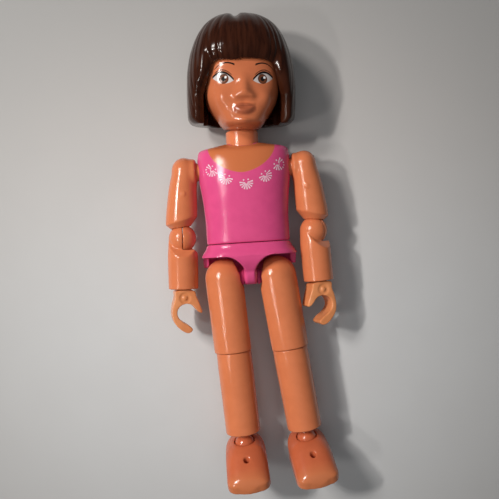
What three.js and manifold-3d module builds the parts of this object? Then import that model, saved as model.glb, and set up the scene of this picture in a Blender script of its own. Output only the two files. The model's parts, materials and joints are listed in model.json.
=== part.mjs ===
// Articulated plastic doll figure, lying on its back: the face looks along +Z and the head points along +Y.
// Millimetres. The doll's own left side is +X. Each moving piece is a mesh in the group that carries it.
import * as THREE from 'three';
import { mergeVertices } from 'three/addons/utils/BufferGeometryUtils.js';
import Module from 'manifold-3d';

const wasm = await Module();
wasm.setup();

// Clearances
const runningGap = 0.3;
const pinGap = 0.15;
const partingLine = 0.1;

// Torso: from the waist plane at y = 0 up to the shoulders
const torsoHeight = 19;
const chestHalfWidth = 9.45;
const waistTaper = 1;
const waistHalfWidth = chestHalfWidth - waistTaper;
const waistHalfDepth = 5.5;
const chestHalfDepth = 6.2;
const shoulderRounding = 1.1;
const collarRise = 1;
const collarHalfWidth = 4.6;
const collarHalfDepth = 2.8;
const torsoWall = 1.3;

// Neck post and its ball
const neckRadius = 3.3;
const neckShown = 2.3;
const neckBallRadius = 2.5;
const neckStemRadius = 1.8;
const neckFlangeRadius = 4.3;
const neckFlangeThickness = 1.2;
const neckFlangeDepth = 1.6;
const neckChamfer = 0.4;

// Head and hair
const headHalfWidth = 7.55;
const headHeight = 21.2;
const faceDepth = 9.1;
const skullDepth = 5.4;
const chinDrop = 2.6;
const chinTip = 0.6;
const chinHalfWidth = 2;
const chinBack = 2.4;
const jawTip = 0.1;
const jawHalfWidth = 3.4;
const jawBack = 0.2;
const chinGap = 0.5;
const nodClearance = 0.75;
const noseRadius = 1.25;
const noseHeight = 3;
const lipHalfWidth = 2.2;
const lipHalfHeight = 0.85;
const lipProud = 0.45;
const lipHeight = 0.2;
const hairHalfWidth = 10.85;
const hairTop = 20.8;
const hairFront = 10.8;
const hairBack = 7;
const hairHemDrop = 0.9;
const hairHemSlope = 7;
const fringeHeight = 9.4;
const lockThickness = 3.3;
const faceWindowHalfWidth = 6.1;
const faceWindowCorner = 2.4;

// Upper arm with its shoulder peg, and the elbow knuckle that turns in it
const armRadius = 3.15;
const armGap = 0.3;
const armOuterSwell = 0.2;
const shoulderDiscRadius = 2.75;
const upperArmLength = 13.3;
const shoulderHeight = 15;
const shoulderPinRadius = 1.8;
const shoulderFlangeRadius = 2.6;
const shoulderFlangeThickness = 1.1;
const knuckleRadius = 2.8;
const elbowSeatSlope = 47;
const elbowSeatTilt = 8;
const elbowStemRadius = 1.2;
const elbowStemLength = 4;
const elbowBevel = 51;
const elbowPinRadius = 0.75;
const elbowPinLength = 3.6;

// Forearm and hand
const forearmLength = 10.3;
const forearmRadius = 3.05;
const handStemRadius = 1.4;
const handStemLength = 4.5;
const wristHalfWidth = 1.75;
const wristLength = 2.1;
const gripInnerRadius = 1.85;
const gripWall = 1.35;
const handDepth = 4.2;
const thumbAngle = 3;
const fingerAngle = 277;
const handBossRadius = 0.75;
const handBossDepth = 0.35;

// Waist peg
const waistStemRadius = 2.6;
const waistFlangeRadius = 4.1;
const waistFlangeThickness = 1.3;
const waistFlangeHeight = 2.6;
const waistPegDepth = 1.7;

// Pelvis
const hemOverhang = 0.3;
const hemHalfWidth = chestHalfWidth + hemOverhang;
const hemHalfDepth = 6.3;
const hemDrop = 2.6;
const seatDrop = 4.7;
const seatWall = 1.2;
const seatFront = -1.3;
const webHalfWidth = 1.15;
const webDrop = 8.5;
const webFront = 4.6;
const webBack = 4.9;
const webFillet = 3.3;

// Hip stud and thigh
const thighRadius = 4.05;
const thighLength = 14.9;
const kneeRimRadius = 3.9;
const hipHalfWidth = 5.25;
const hipBallRadius = 2.1;
const hipNeckRadius = 1.25;
const hipCollarRadius = 1.6;
const hipPinRadius = 1.1;
const hipCollarWidth = 0.45;
const hipChamfer = 0.4;
const splaySlope = 0.5;
const domeStart = 15;
const domeEnd = 82;

// Knee
const kneeRise = 1.7;
const kneeDiscRadius = 2.3;
const kneeTongueWidth = 3;
const kneePinRadius = 0.7;
const kneePinLength = 6;
const kneeStop = 1.2;
const kneeRoot = 1;

// Shin, ankle peg and foot
const shinRadius = 3.55;
const shinLength = 16.3;
const ankleBallRadius = 2;
const ankleNeckRadius = 1.25;
const anklePinRadius = 1.5;
const anklePinLength = 5;
const ankleDrop = 2.5;
const footHalfWidth = 4;
const heelReach = 4.1;
const toeReach = 8.7;
const soleDrop = 4.8;
const toeHeight = 2.9;
const toeRounding = 2.3;
const ankleTop = 1.2;
const heelDip = 0.6;
const ankleMouthRadius = 1.7;
const instepHoleRadius = 0.55;
const instepHoleReach = 4.6;
const soleSocketRadius = 2.45;
const soleSocketDepth = 1.7;
const soleSocketReach = 3.4;

// Pose in which the doll lies, in degrees. Turning about +Z leans a limb that points down towards +X.
const headLean = -2.1;
const headTurn = 5;
const footPoint = 22;
const armLean = 2.3;
const sides = [
  { name: 'left', sign: 1, elbowTurn: 46, handTurn: -22, legLean: 7, footTurn: 6 },
  { name: 'right', sign: -1, elbowTurn: 8, handTurn: 6, legLean: 3.2, footTurn: 2 },
];

// Fineness of the round shapes
const limbSides = 18;
const bodySides = 26;
const pinSides = 12;
const far = 40;
const slim = 0.05;

const rad = THREE.MathUtils.degToRad;

// Angle on a ball, from its equator, at which a neck of the given radius meets it
const meeting = (neck, radius) => THREE.MathUtils.radToDeg(Math.acos(neck / radius));

// Solids from three.js geometries
function solid(geometry) {
  const bare = geometry.clone();
  bare.deleteAttribute('normal');
  bare.deleteAttribute('uv');
  const merged = mergeVertices(bare, 1e-5);
  const vertProperties = new Float32Array(merged.attributes.position.array);
  const triVerts = new Uint32Array(merged.index.array);
  return new wasm.Manifold(new wasm.Mesh({ numProp: 3, vertProperties, triVerts }));
}

function piece(name, body, material) {
  const { vertProperties, triVerts } = body.getMesh();
  const geometry = new THREE.BufferGeometry();
  geometry.setAttribute('position', new THREE.BufferAttribute(vertProperties, 3));
  geometry.setIndex(new THREE.BufferAttribute(triVerts, 1));
  geometry.computeVertexNormals();
  const mesh = new THREE.Mesh(geometry, material);
  mesh.name = name;
  return mesh;
}

// A closed skin over oval sections stacked along Y
function loft(sections, around) {
  const positions = [];
  const indices = [];
  for (const { y, halfWidth, back, front, power = 2, shift = 0 } of sections) {
    const middle = (front + back) / 2;
    const halfDepth = (front - back) / 2;
    for (let i = 0; i < around; i += 1) {
      const angle = (2 * Math.PI * i) / around;
      const across = Math.cos(angle);
      const ahead = Math.sin(angle);
      positions.push(shift + halfWidth * Math.sign(across) * Math.abs(across) ** (2 / power), y);
      positions.push(middle + halfDepth * Math.sign(ahead) * Math.abs(ahead) ** (2 / power));
    }
  }
  const last = sections.length - 1;
  for (let row = 0; row < last; row += 1) {
    for (let i = 0; i < around; i += 1) {
      const a = row * around + i;
      const b = row * around + ((i + 1) % around);
      indices.push(a, a + around, b + around, a, b + around, b);
    }
  }
  const ends = [sections[0], sections[last]];
  const caps = ends.map(({ y, back, front, shift = 0 }) => {
    positions.push(shift, y, (front + back) / 2);
    return positions.length / 3 - 1;
  });
  for (let i = 0; i < around; i += 1) {
    const next = (i + 1) % around;
    indices.push(caps[0], i, next, caps[1], last * around + next, last * around + i);
  }
  const geometry = new THREE.BufferGeometry();
  geometry.setAttribute('position', new THREE.Float32BufferAttribute(positions, 3));
  geometry.setIndex(indices);
  return solid(geometry);
}

const round = (y, radius) => ({ y, halfWidth: radius, back: -radius, front: radius });

// A solid of revolution about Y from [radius, y] points that start and end on the axis
function turned(profile, around = pinSides) {
  return solid(new THREE.LatheGeometry(profile.map(([radius, y]) => new THREE.Vector2(radius, y)), around));
}

// A quarter or half circle of [radius, y] points about a centre on the Y axis, from one angle to another
function arc(centre, radius, from, to, steps = 6) {
  return Array.from({ length: steps + 1 }, (_, i) => {
    const angle = rad(from + ((to - from) * i) / steps);
    const across = Math.cos(angle) * radius;
    return [Math.abs(across) < 1e-9 ? 0 : across, centre + Math.sin(angle) * radius];
  });
}

function rod(radius, from, to, around = limbSides, endRadius = radius) {
  const shape = new THREE.CylinderGeometry(endRadius, radius, to - from, around);
  return solid(shape.translate(0, (from + to) / 2, 0));
}

const alongX = (body) => body.rotate([0, 0, -90]);
const alongZ = (body) => body.rotate([90, 0, 0]);

function ball(radius, around = pinSides) {
  return solid(new THREE.SphereGeometry(radius, around, around / 2));
}

function block(low, high) {
  const size = high.map((value, i) => value - low[i]);
  const middle = high.map((value, i) => (value + low[i]) / 2);
  return solid(new THREE.BoxGeometry(...size).translate(...middle));
}

// A prism along X over an outline of [y, z] points
function prismX(outline, halfLength) {
  const shape = new THREE.Shape(outline.map(([y, z]) => new THREE.Vector2(-z, y)));
  const shapeGeometry = new THREE.ExtrudeGeometry(shape, { depth: 2 * halfLength, bevelEnabled: false });
  return solid(shapeGeometry.translate(0, 0, -halfLength).rotateY(Math.PI / 2));
}

// A prism along Z over a THREE.Shape in X and Y
function prismZ(shape, from, to, curveSegments = 8) {
  const options = { depth: to - from, bevelEnabled: false, curveSegments };
  return solid(new THREE.ExtrudeGeometry(shape, options).translate(0, 0, from));
}

// A prism along Y over a THREE.Shape in X and minus Z
function prismY(shape, from, to, curveSegments = 8) {
  const options = { depth: to - from, bevelEnabled: false, curveSegments };
  return solid(new THREE.ExtrudeGeometry(shape, options).rotateX(-Math.PI / 2).translate(0, from, 0));
}

// Plastics
const plastic = (color, roughness) => new THREE.MeshStandardMaterial({ color, roughness, metalness: 0 });
const skin = plastic(0xd9825a, 0.3);
const clipSkin = plastic(0xd9955c, 0.35);
const footSkin = plastic(0xc8643f, 0.3);
const pink = plastic(0xe0568f, 0.32);
const hairBrown = plastic(0x43200f, 0.22);
const innerWhite = plastic(0xd8d4cc, 0.5);

// Places worked out from the sizes
const waistHalfGap = runningGap / 2;
const neckSeat = torsoHeight + collarRise;
const chinLevel = neckSeat + neckShown;
const neckBallLevel = chinLevel + chinDrop;
const flangeTop = torsoHeight - neckFlangeDepth;
const shoulderReach = chestHalfWidth + armGap + armRadius;
const hipDrop = hemDrop + runningGap + thighRadius;
const kneeLevel = -(thighLength - kneeRise);
const shinTop = -(kneeRise + runningGap);
const shinBottom = shinTop - shinLength;
const ankleLevel = shinBottom - ankleDrop;

// Peg along X on the arm's inner side, with the flange that the torso traps
const shoulderWallInside = chestHalfWidth - torsoWall - shoulderFlangeThickness;
const armInside = chestHalfWidth + armGap;

function shoulderPeg(sign) {
  const profile = [
    [0, shoulderWallInside - shoulderFlangeThickness],
    [shoulderFlangeRadius, shoulderWallInside - shoulderFlangeThickness],
    [shoulderFlangeRadius, shoulderWallInside],
    [shoulderPinRadius, shoulderWallInside],
    [shoulderPinRadius, armInside],
    [shoulderDiscRadius * 0.94, armInside],
    [shoulderDiscRadius, armInside + shoulderDiscRadius * 0.12],
    [shoulderDiscRadius, shoulderReach],
    [0, shoulderReach],
  ];
  const peg = alongX(turned(profile, limbSides)).translate(-shoulderReach, 0, 0);
  return sign > 0 ? peg : peg.rotate([0, 180, 0]);
}

// Torso, closed by two shells that meet at z = 0
function torsoSections(inset) {
  const across = (halfWidth) => halfWidth - inset;
  const section = (y, halfWidth, halfDepth, power) => ({
    y, halfWidth: across(halfWidth), back: -across(halfDepth), front: across(halfDepth), power,
  });
  const midWidth = waistHalfWidth + waistTaper * 0.4;
  const shoulderHalf = (chestHalfWidth + collarHalfWidth) / 2;
  const shoulderTop = torsoHeight - 0.25 * shoulderRounding;
  return [
    section(waistHalfGap + inset, waistHalfWidth, waistHalfDepth, 2.6),
    section(torsoHeight * 0.25, waistHalfWidth * 1.005, waistHalfDepth * 1.01, 2.6),
    section(torsoHeight * 0.5, midWidth, (waistHalfDepth + chestHalfDepth) / 2, 2.5),
    section(torsoHeight * 0.75, chestHalfWidth * 0.99, chestHalfDepth, 2.5),
    section(torsoHeight - 2.2 * shoulderRounding - inset / 2, chestHalfWidth, chestHalfDepth * 0.96, 2.5),
    section(torsoHeight - 0.9 * shoulderRounding - inset, chestHalfWidth * 0.985, chestHalfDepth * 0.9, 2.5),
    section(shoulderTop - inset, chestHalfWidth * 0.965, chestHalfDepth * 0.78, 2.5),
    section(torsoHeight + 0.15 * collarRise - inset, chestHalfWidth * 0.9, chestHalfDepth * 0.63, 2.4),
    section(torsoHeight + 0.55 * collarRise - inset, shoulderHalf, collarHalfDepth * 1.15, 2.1),
    section(neckSeat - inset, collarHalfWidth, collarHalfDepth, 2),
  ];
}

function torso() {
  const neckBore = neckRadius + runningGap;
  const flangeRoom = neckFlangeRadius + runningGap;
  const stemBore = waistStemRadius + runningGap;
  const stemRoom = waistFlangeRadius + runningGap;
  const flangeBottom = flangeTop - neckFlangeThickness - runningGap;
  const waistFlangeTop = waistFlangeHeight + waistFlangeThickness + runningGap;
  let hollow = loft(torsoSections(torsoWall), bodySides);
  hollow = hollow.subtract(rod(flangeRoom + torsoWall, flangeBottom - torsoWall, far));
  hollow = hollow.subtract(rod(stemRoom + torsoWall, -far, waistFlangeTop + torsoWall));
  let shell = loft(torsoSections(0), bodySides);
  for (const { sign } of sides) {
    const bossEnd = shoulderWallInside - shoulderFlangeThickness - runningGap - torsoWall;
    const ends = [bossEnd * sign, far * sign].sort((a, b) => a - b);
    const boss = alongX(rod(shoulderFlangeRadius + runningGap + torsoWall, ...ends));
    hollow = hollow.subtract(boss.translate(0, shoulderHeight, 0));
  }
  shell = shell.subtract(hollow);
  shell = shell.subtract(rod(neckBore, flangeTop, far));
  shell = shell.subtract(rod(flangeRoom, flangeBottom, flangeTop + runningGap));
  shell = shell.subtract(rod(stemBore, -far, waistFlangeHeight));
  shell = shell.subtract(rod(stemRoom, waistFlangeHeight - runningGap, waistFlangeTop));
  for (const { sign } of sides) {
    const inner = shoulderWallInside - shoulderFlangeThickness - runningGap;
    const outer = shoulderWallInside + runningGap;
    const roomEnds = [inner * sign, outer * sign].sort((a, b) => a - b);
    const boreEnds = [inner * sign, far * sign].sort((a, b) => a - b);
    const room = alongX(rod(shoulderFlangeRadius + runningGap, ...roomEnds));
    const bore = alongX(rod(shoulderPinRadius + pinGap, ...boreEnds));
    shell = shell.subtract(room.add(bore).translate(0, shoulderHeight, 0));
  }
  return shell;
}

// Neck post: flange in the torso, neck, and ball in the head
function neckPost() {
  const flangeBottom = flangeTop - neckFlangeThickness;
  return turned([
    [0, flangeBottom],
    [neckFlangeRadius, flangeBottom],
    [neckFlangeRadius, flangeTop],
    [neckRadius, flangeTop],
    [neckRadius, chinLevel + runningGap],
    [neckStemRadius, chinLevel + runningGap + neckChamfer],
    ...arc(neckBallLevel, neckBallRadius, -meeting(neckStemRadius, neckBallRadius), 90),
  ]);
}

// Head about its neck ball: chin below, crown above
function headSections(grow) {
  const top = headHeight - chinDrop - chinTip;
  const section = (share, width, back, front, power = 2.2) => ({
    y: share * top + Math.sign(share - 0.4) * grow,
    halfWidth: headHalfWidth * width + grow,
    back: -skullDepth * back - grow,
    front: faceDepth * front + grow,
    power,
  });
  const chin = (tip, halfWidth, back, front) => ({
    y: -chinDrop - tip - grow,
    halfWidth: halfWidth + grow,
    back: back - grow,
    front: faceDepth * front + grow,
  });
  return [
    chin(chinTip, chinHalfWidth, chinBack, 0.8),
    chin(jawTip, jawHalfWidth, -jawBack, 0.93),
    section(-0.1, 0.54, 0.4, 0.965),
    section(0, 0.68, 0.65, 0.985),
    section(0.09, 0.81, 0.82, 0.985),
    section(0.18, 0.91, 0.93, 0.975),
    section(0.28, 0.975, 0.98, 0.97),
    section(0.4, 1, 1, 0.985),
    section(0.58, 0.98, 1, 0.97),
    section(0.75, 0.88, 0.9, 0.86),
    section(0.88, 0.68, 0.68, 0.66),
    section(0.96, 0.42, 0.4, 0.42),
    section(1, 0.16, 0.1, 0.16),
  ];
}

function head() {
  const mouthLevel = -chinDrop - 2 * chinTip;
  const mouth = neckRadius + chinGap;
  const nose = ball(noseRadius).scale([1, 1.15, 1]).translate(0, noseHeight, faceDepth * 0.97);
  const lipPlace = [0, lipHeight, faceDepth * 0.98 - lipProud];
  const lips = ball(1).scale([lipHalfWidth, lipHalfHeight, 2 * lipProud]).translate(...lipPlace);
  return loft(headSections(0), bodySides)
    .add(nose)
    .add(lips)
    .subtract(ball(neckBallRadius + pinGap))
    .subtract(rod(mouth + nodClearance, mouthLevel, -chinDrop + 2 * runningGap, limbSides, mouth))
    .subtract(rod(mouth, -chinDrop + runningGap, 0, limbSides, neckStemRadius + pinGap));
}

// Hair: a cap round the head with an open face, side locks and an open hem
function hair() {
  const bottom = -hairHemDrop - hairFront * Math.tan(rad(hairHemSlope));
  const section = (share, width, back, front, power = 2.3) => ({
    y: share * (hairTop - bottom) + bottom,
    halfWidth: hairHalfWidth * width,
    back: -hairBack * back,
    front: hairFront * front,
    power,
  });
  const cap = loft([
    section(0, 0.95, 0.78, 0.6),
    section(0.12, 0.99, 0.9, 0.68),
    section(0.28, 1, 0.99, 0.82),
    section(0.44, 0.99, 1, 0.96),
    section(0.58, 0.95, 0.98, 1),
    section(0.72, 0.86, 0.9, 0.95),
    section(0.83, 0.73, 0.75, 0.83),
    section(0.92, 0.55, 0.5, 0.64),
    section(0.98, 0.32, 0.18, 0.41),
    section(1, 0.12, 0, 0.2),
  ], bodySides);
  const hollowHalf = hairHalfWidth - lockThickness;
  const hollow = loft([
    { y: -far, halfWidth: hollowHalf, back: -hairBack + lockThickness, front: far, power: 4 },
    { y: fringeHeight * 0.4, halfWidth: hollowHalf, back: -hairBack + lockThickness, front: far, power: 4 },
    { y: fringeHeight * 0.8, halfWidth: faceWindowHalfWidth, back: -skullDepth, front: far, power: 4 },
  ], limbSides);
  const window = new THREE.Shape();
  window.moveTo(-hollowHalf, -far);
  window.lineTo(hollowHalf, -far);
  window.lineTo(hollowHalf, fringeHeight * 0.4);
  window.lineTo(faceWindowHalfWidth, fringeHeight - faceWindowCorner);
  window.quadraticCurveTo(
    faceWindowHalfWidth, fringeHeight, faceWindowHalfWidth - faceWindowCorner, fringeHeight);
  window.lineTo(faceWindowCorner - faceWindowHalfWidth, fringeHeight);
  window.quadraticCurveTo(
    -faceWindowHalfWidth, fringeHeight, -faceWindowHalfWidth, fringeHeight - faceWindowCorner);
  window.lineTo(-hollowHalf, fringeHeight * 0.4);
  const belowHem = block([-far, -far, -far], [far, 0, far]).rotate([hairHemSlope, 0, 0]);
  return cap
    .subtract(belowHem.translate(0, -hairHemDrop, 0))
    .subtract(loft(headSections(runningGap), bodySides))
    .subtract(prismZ(window, 0, far, 4))
    .subtract(hollow);
}

// Half of the elbow ball, on one side of the split between knuckle and forearm
const splitHalf = runningGap / 2;
const knuckleRoom = knuckleRadius + runningGap;

function halfBall(toward) {
  const low = toward > 0 ? splitHalf : -far;
  const high = toward > 0 ? far : -splitHalf;
  return ball(knuckleRadius, limbSides).intersect(block([low, -far, -far], [high, far, far]));
}

const elbowPinBore = () => alongX(rod(
  elbowPinRadius + pinGap, -elbowPinLength / 2 - runningGap, elbowPinLength / 2 + runningGap, pinSides));

// Upper arm: a round shoulder, a straight inner side, and a conical seat over the elbow ball
function upperArm(sign) {
  const section = (y, outer) => ({
    y,
    halfWidth: (outer + armRadius) / 2,
    shift: (sign * (outer - armRadius)) / 2,
    back: -armRadius,
    front: armRadius,
  });
  const domed = (share) => {
    const y = armRadius * Math.sin(rad(90 * share));
    const spread = armRadius * Math.cos(rad(90 * share)) + slim;
    const halfWidth = spread * (0.8 + 0.1 * share);
    const shift = -sign * armRadius * 0.2;
    return { y, halfWidth, back: -spread, front: spread, shift };
  };
  const body = loft([
    section(-upperArmLength, armRadius + armOuterSwell),
    section(-upperArmLength * 0.75, armRadius + armOuterSwell),
    section(-upperArmLength * 0.5, armRadius * 0.97),
    section(-upperArmLength * 0.25, armRadius * 0.83),
    section(0, armRadius * 0.6),
    ...[0.25, 0.5, 0.75, 1].map(domed),
  ], limbSides);
  const rise = far * Math.tan(rad(elbowSeatSlope));
  const cone = turned([[0, -far], [far, -far], [far, rise], [0, 0]], limbSides);
  const seat = cone.rotate([0, 0, -sign * elbowSeatTilt]);
  const stemBore = rod(elbowStemRadius + pinGap, 0, knuckleRoom + elbowStemLength + runningGap, pinSides);
  const elbow = seat.add(ball(knuckleRoom, limbSides)).add(stemBore).translate(0, -upperArmLength, 0);
  return body.subtract(elbow).rotate([0, 0, sign * armLean]).add(shoulderPeg(sign));
}

// Elbow knuckle: half a ball with a stem that turns in the upper arm
function elbowKnuckle() {
  const stem = rod(elbowStemRadius, knuckleRoom, knuckleRoom + elbowStemLength, pinSides);
  const root = rod(elbowStemRadius, 0, knuckleRoom + pinGap, pinSides);
  const side = block([splitHalf, -far, -far], [far, far, far]);
  return halfBall(1).add(root.intersect(side)).add(stem).subtract(elbowPinBore());
}

// Forearm below the elbow: the other half of the ball, and a bevel that lets it fold forward
function forearm() {
  const slope = far * Math.tan(rad(elbowBevel));
  const bevel = prismX([[0, 0], [-slope, far], [far, far], [far, 0]], far);
  const body = loft([
    round(-forearmLength, forearmRadius * 0.99),
    round(-forearmLength * 0.8, forearmRadius),
    round(-forearmLength * 0.4, forearmRadius * 1.01),
    round(0, knuckleRadius),
  ], limbSides);
  const knuckleSpace = alongX(rod(knuckleRoom, -splitHalf, far));
  return body
    .subtract(bevel)
    .subtract(knuckleSpace)
    .add(halfBall(-1))
    .subtract(elbowPinBore())
    .subtract(rod(handStemRadius + pinGap, -far, -forearmLength + handStemLength + runningGap, pinSides));
}

// Hand below the wrist: a stem, a wrist block and a C-shaped grip
function hand(sign) {
  const outer = gripInnerRadius + gripWall;
  const centre = -(runningGap + wristLength + outer * 0.9);
  const tip = gripWall / 2;
  const mid = gripInnerRadius + tip;
  const shape = new THREE.Shape();
  shape.absarc(0, centre, outer, rad(thumbAngle), rad(fingerAngle), false);
  const fingerX = mid * Math.cos(rad(fingerAngle));
  const fingerY = centre + mid * Math.sin(rad(fingerAngle));
  shape.absarc(fingerX, fingerY, tip, rad(fingerAngle), rad(fingerAngle + 180), false);
  shape.absarc(0, centre, gripInnerRadius, rad(fingerAngle), rad(thumbAngle), true);
  const thumbX = mid * Math.cos(rad(thumbAngle));
  const thumbY = centre + mid * Math.sin(rad(thumbAngle));
  shape.absarc(thumbX, thumbY, tip, rad(thumbAngle + 180), rad(thumbAngle + 360), false);
  const wrist = new THREE.Shape();
  wrist.moveTo(-wristHalfWidth, -runningGap);
  wrist.lineTo(-outer * 0.75, centre + outer * 0.66);
  wrist.lineTo(outer * 0.75, centre + outer * 0.66);
  wrist.lineTo(wristHalfWidth, -runningGap);
  const grip = prismZ(shape, -handDepth / 2, handDepth / 2, 7);
  const inside = rod(gripInnerRadius, -far, far);
  const bossPlace = centre + outer + handBossRadius * 0.4;
  const bossHalf = handDepth / 2 - handBossDepth;
  const boss = alongZ(rod(handBossRadius, -bossHalf, bossHalf, pinSides));
  const bossBar = alongZ(rod(handBossRadius, -far, far, pinSides)).subtract(boss);
  const clip = grip
    .add(prismZ(wrist, -handDepth / 2, handDepth / 2))
    .subtract(alongZ(inside).translate(0, centre, 0))
    .subtract(bossBar.translate(0, bossPlace, 0))
    .add(rod(handStemRadius, -2 * runningGap, handStemLength, pinSides));
  return sign > 0 ? clip.rotate([0, 180, 0]) : clip;
}

// Waist peg: pressed into the pelvis, with a flange in the torso
function waistPeg() {
  return turned([
    [0, -waistPegDepth],
    [waistStemRadius, -waistPegDepth],
    [waistStemRadius, waistFlangeHeight],
    [waistFlangeRadius, waistFlangeHeight],
    [waistFlangeRadius, waistFlangeHeight + waistFlangeThickness],
    [0, waistFlangeHeight + waistFlangeThickness],
  ]);
}

// Pelvis: a flared plate under the waist, a seat behind and a web between the thighs
function pelvis() {
  const flare = (y, share, inset) => {
    const halfWidth = waistHalfWidth + (hemHalfWidth - waistHalfWidth) * share - inset;
    const halfDepth = waistHalfDepth + (hemHalfDepth - waistHalfDepth) * share - inset;
    return { y, halfWidth, back: -halfDepth, front: halfDepth, power: 2.6 };
  };
  const plate = loft([
    flare(-hemDrop, 1, 0),
    flare(-hemDrop * 0.7, 0.72, 0),
    flare(-hemDrop * 0.35, 0.25, 0),
    flare(-waistHalfGap, 0, 0),
  ], bodySides);
  const seat = loft([flare(-seatDrop, 0.92, 0), flare(-hemDrop + waistHalfGap, 1, 0)], bodySides)
    .subtract(loft([flare(-far, 0.92, seatWall), flare(-hemDrop, 1, seatWall)], bodySides))
    .intersect(block([-far, -far, -far], [far, far, seatFront]));
  const web = prismX([
    [-hemDrop + waistHalfGap, webFront],
    [-hemDrop + waistHalfGap, -webBack],
    [-webDrop * 0.62, -webBack * 0.93],
    [-webDrop * 0.9, -webBack * 0.62],
    [-webDrop, -webBack * 0.2],
    [-webDrop, webFront * 0.3],
    [-webDrop * 0.93, webFront * 0.68],
    [-webDrop * 0.72, webFront * 0.93],
  ], webHalfWidth);
  const filletTop = -hemDrop + waistHalfGap;
  const fillet = new THREE.Shape();
  fillet.moveTo(-webHalfWidth - webFillet, filletTop);
  fillet.quadraticCurveTo(-webHalfWidth, filletTop - webFillet * 0.1, -webHalfWidth, filletTop - webFillet);
  fillet.lineTo(webHalfWidth, filletTop - webFillet);
  fillet.quadraticCurveTo(webHalfWidth, filletTop - webFillet * 0.1, webHalfWidth + webFillet, filletTop);
  let body = plate.add(seat).add(web).add(prismZ(fillet, -webBack, webFront, 5));
  for (const { sign } of sides) {
    const room = ball(thighRadius + runningGap).translate(hipHalfWidth * sign, -hipDrop, 0);
    body = body.subtract(room.subtract(block([-webHalfWidth, -far, -far], [webHalfWidth, far, far])));
  }
  return body
    .subtract(rod(waistStemRadius + pinGap, -waistPegDepth - pinGap, far))
    .subtract(alongX(rod(hipPinRadius + pinGap, -far, far, pinSides)).translate(0, -hipDrop, 0));
}

// Hip stud along X: a pin in the web, a round collar beside it and a ball in the thigh
const hipCollarStart = webHalfWidth + pinGap;

function hipStud(sign) {
  const profile = [
    [0, pinGap],
    [hipPinRadius, pinGap],
    [hipPinRadius, hipCollarStart],
    [hipCollarRadius, hipCollarStart],
    [hipCollarRadius, hipCollarStart + hipCollarWidth],
    [hipNeckRadius, hipCollarStart + hipCollarWidth + hipChamfer],
    ...arc(hipHalfWidth, hipBallRadius, -meeting(hipNeckRadius, hipBallRadius), 90),
  ];
  const stud = alongX(turned(profile));
  return sign > 0 ? stud : stud.rotate([0, 180, 0]);
}

// Thigh below its hip ball, with a slot for the knee tongue
function thigh(sign) {
  const dome = arc(0, thighRadius, domeStart, domeEnd, 4).map(([radius, y]) => round(y, radius));
  const body = loft([
    round(-thighLength, kneeRimRadius),
    round(-thighLength * 0.8, kneeRimRadius * 1.01),
    round(-thighLength * 0.5, (thighRadius + kneeRimRadius) / 2),
    round(-thighLength * 0.2, thighRadius),
    ...dome,
  ], limbSides);
  const innerFace = hipHalfWidth - webHalfWidth - runningGap - pinGap;
  const shave = [[-far, -far, -far], [-innerFace, far, far]];
  const mouthStart = hipBallRadius * 0.7;
  const mouthEnd = innerFace + pinGap;
  const mouthRadius = hipCollarRadius + runningGap + splaySlope * innerFace * 0.5;
  const mouthNeck = hipNeckRadius + runningGap + pinGap;
  const mouth = alongX(rod(mouthRadius, -mouthEnd, -mouthStart, limbSides, mouthNeck));
  const inner = (shape) => (sign > 0 ? shape : shape.rotate([0, 180, 0]));
  const knee = [0, kneeLevel, 0];
  const slotHalf = kneeTongueWidth / 2 + runningGap;
  const slot = alongX(rod(kneeDiscRadius + runningGap, -slotHalf, slotHalf));
  const rear = block([-slotHalf, -far, -far], [slotHalf, kneeDiscRadius, 0]);
  const reach = kneeStop * Math.SQRT2;
  const bevel = prismX([[-reach, 0], [far - reach, -far], [-far, -far], [-far, 0]], far);
  const pinHalf = kneePinLength / 2 + pinGap;
  const pinBore = alongX(rod(kneePinRadius + pinGap, -pinHalf, pinHalf, pinSides));
  return body
    .subtract(inner(block(...shave)))
    .subtract(ball(hipBallRadius + pinGap))
    .subtract(inner(mouth))
    .subtract(bevel.translate(...knee))
    .subtract(slot.translate(...knee))
    .subtract(rear.translate(...knee))
    .subtract(pinBore.translate(...knee));
}

// Shin below the knee pin: a tongue with a round end, then the shin
function shin() {
  const body = loft([
    round(shinBottom, shinRadius * 0.985),
    round(shinBottom * 0.6, shinRadius * 0.995),
    round(shinBottom * 0.3, shinRadius * 1.01),
    round(shinTop, shinRadius),
  ], limbSides);
  const reach = (kneeStop + runningGap) * Math.SQRT2;
  const bevel = prismX([[-reach, 0], [-reach - far, -far], [far, -far], [far, 0]], far);
  const half = kneeTongueWidth / 2;
  const disc = alongX(rod(kneeDiscRadius, -half, half));
  const neckHalf = kneeDiscRadius * 0.62;
  const neck = block([-half, shinTop - kneeRoot, -neckHalf], [half, shinTop / 2, neckHalf]);
  const pinBore = alongX(rod(kneePinRadius + pinGap, -far, far, pinSides));
  const bore = rod(anklePinRadius + pinGap, -far, shinBottom + anklePinLength + runningGap, pinSides);
  return body.subtract(bevel).add(neck).add(disc).subtract(pinBore).subtract(bore);
}

// Ankle peg about its ball: a pin up into the shin
function anklePeg() {
  const shinEnd = ankleDrop + runningGap;
  return turned([
    ...arc(0, ankleBallRadius, -90, meeting(ankleNeckRadius, ankleBallRadius), 8),
    [ankleNeckRadius, shinEnd],
    [anklePinRadius, shinEnd],
    [anklePinRadius, shinEnd + anklePinLength - runningGap],
    [0, shinEnd + anklePinLength - runningGap],
  ]);
}

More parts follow.
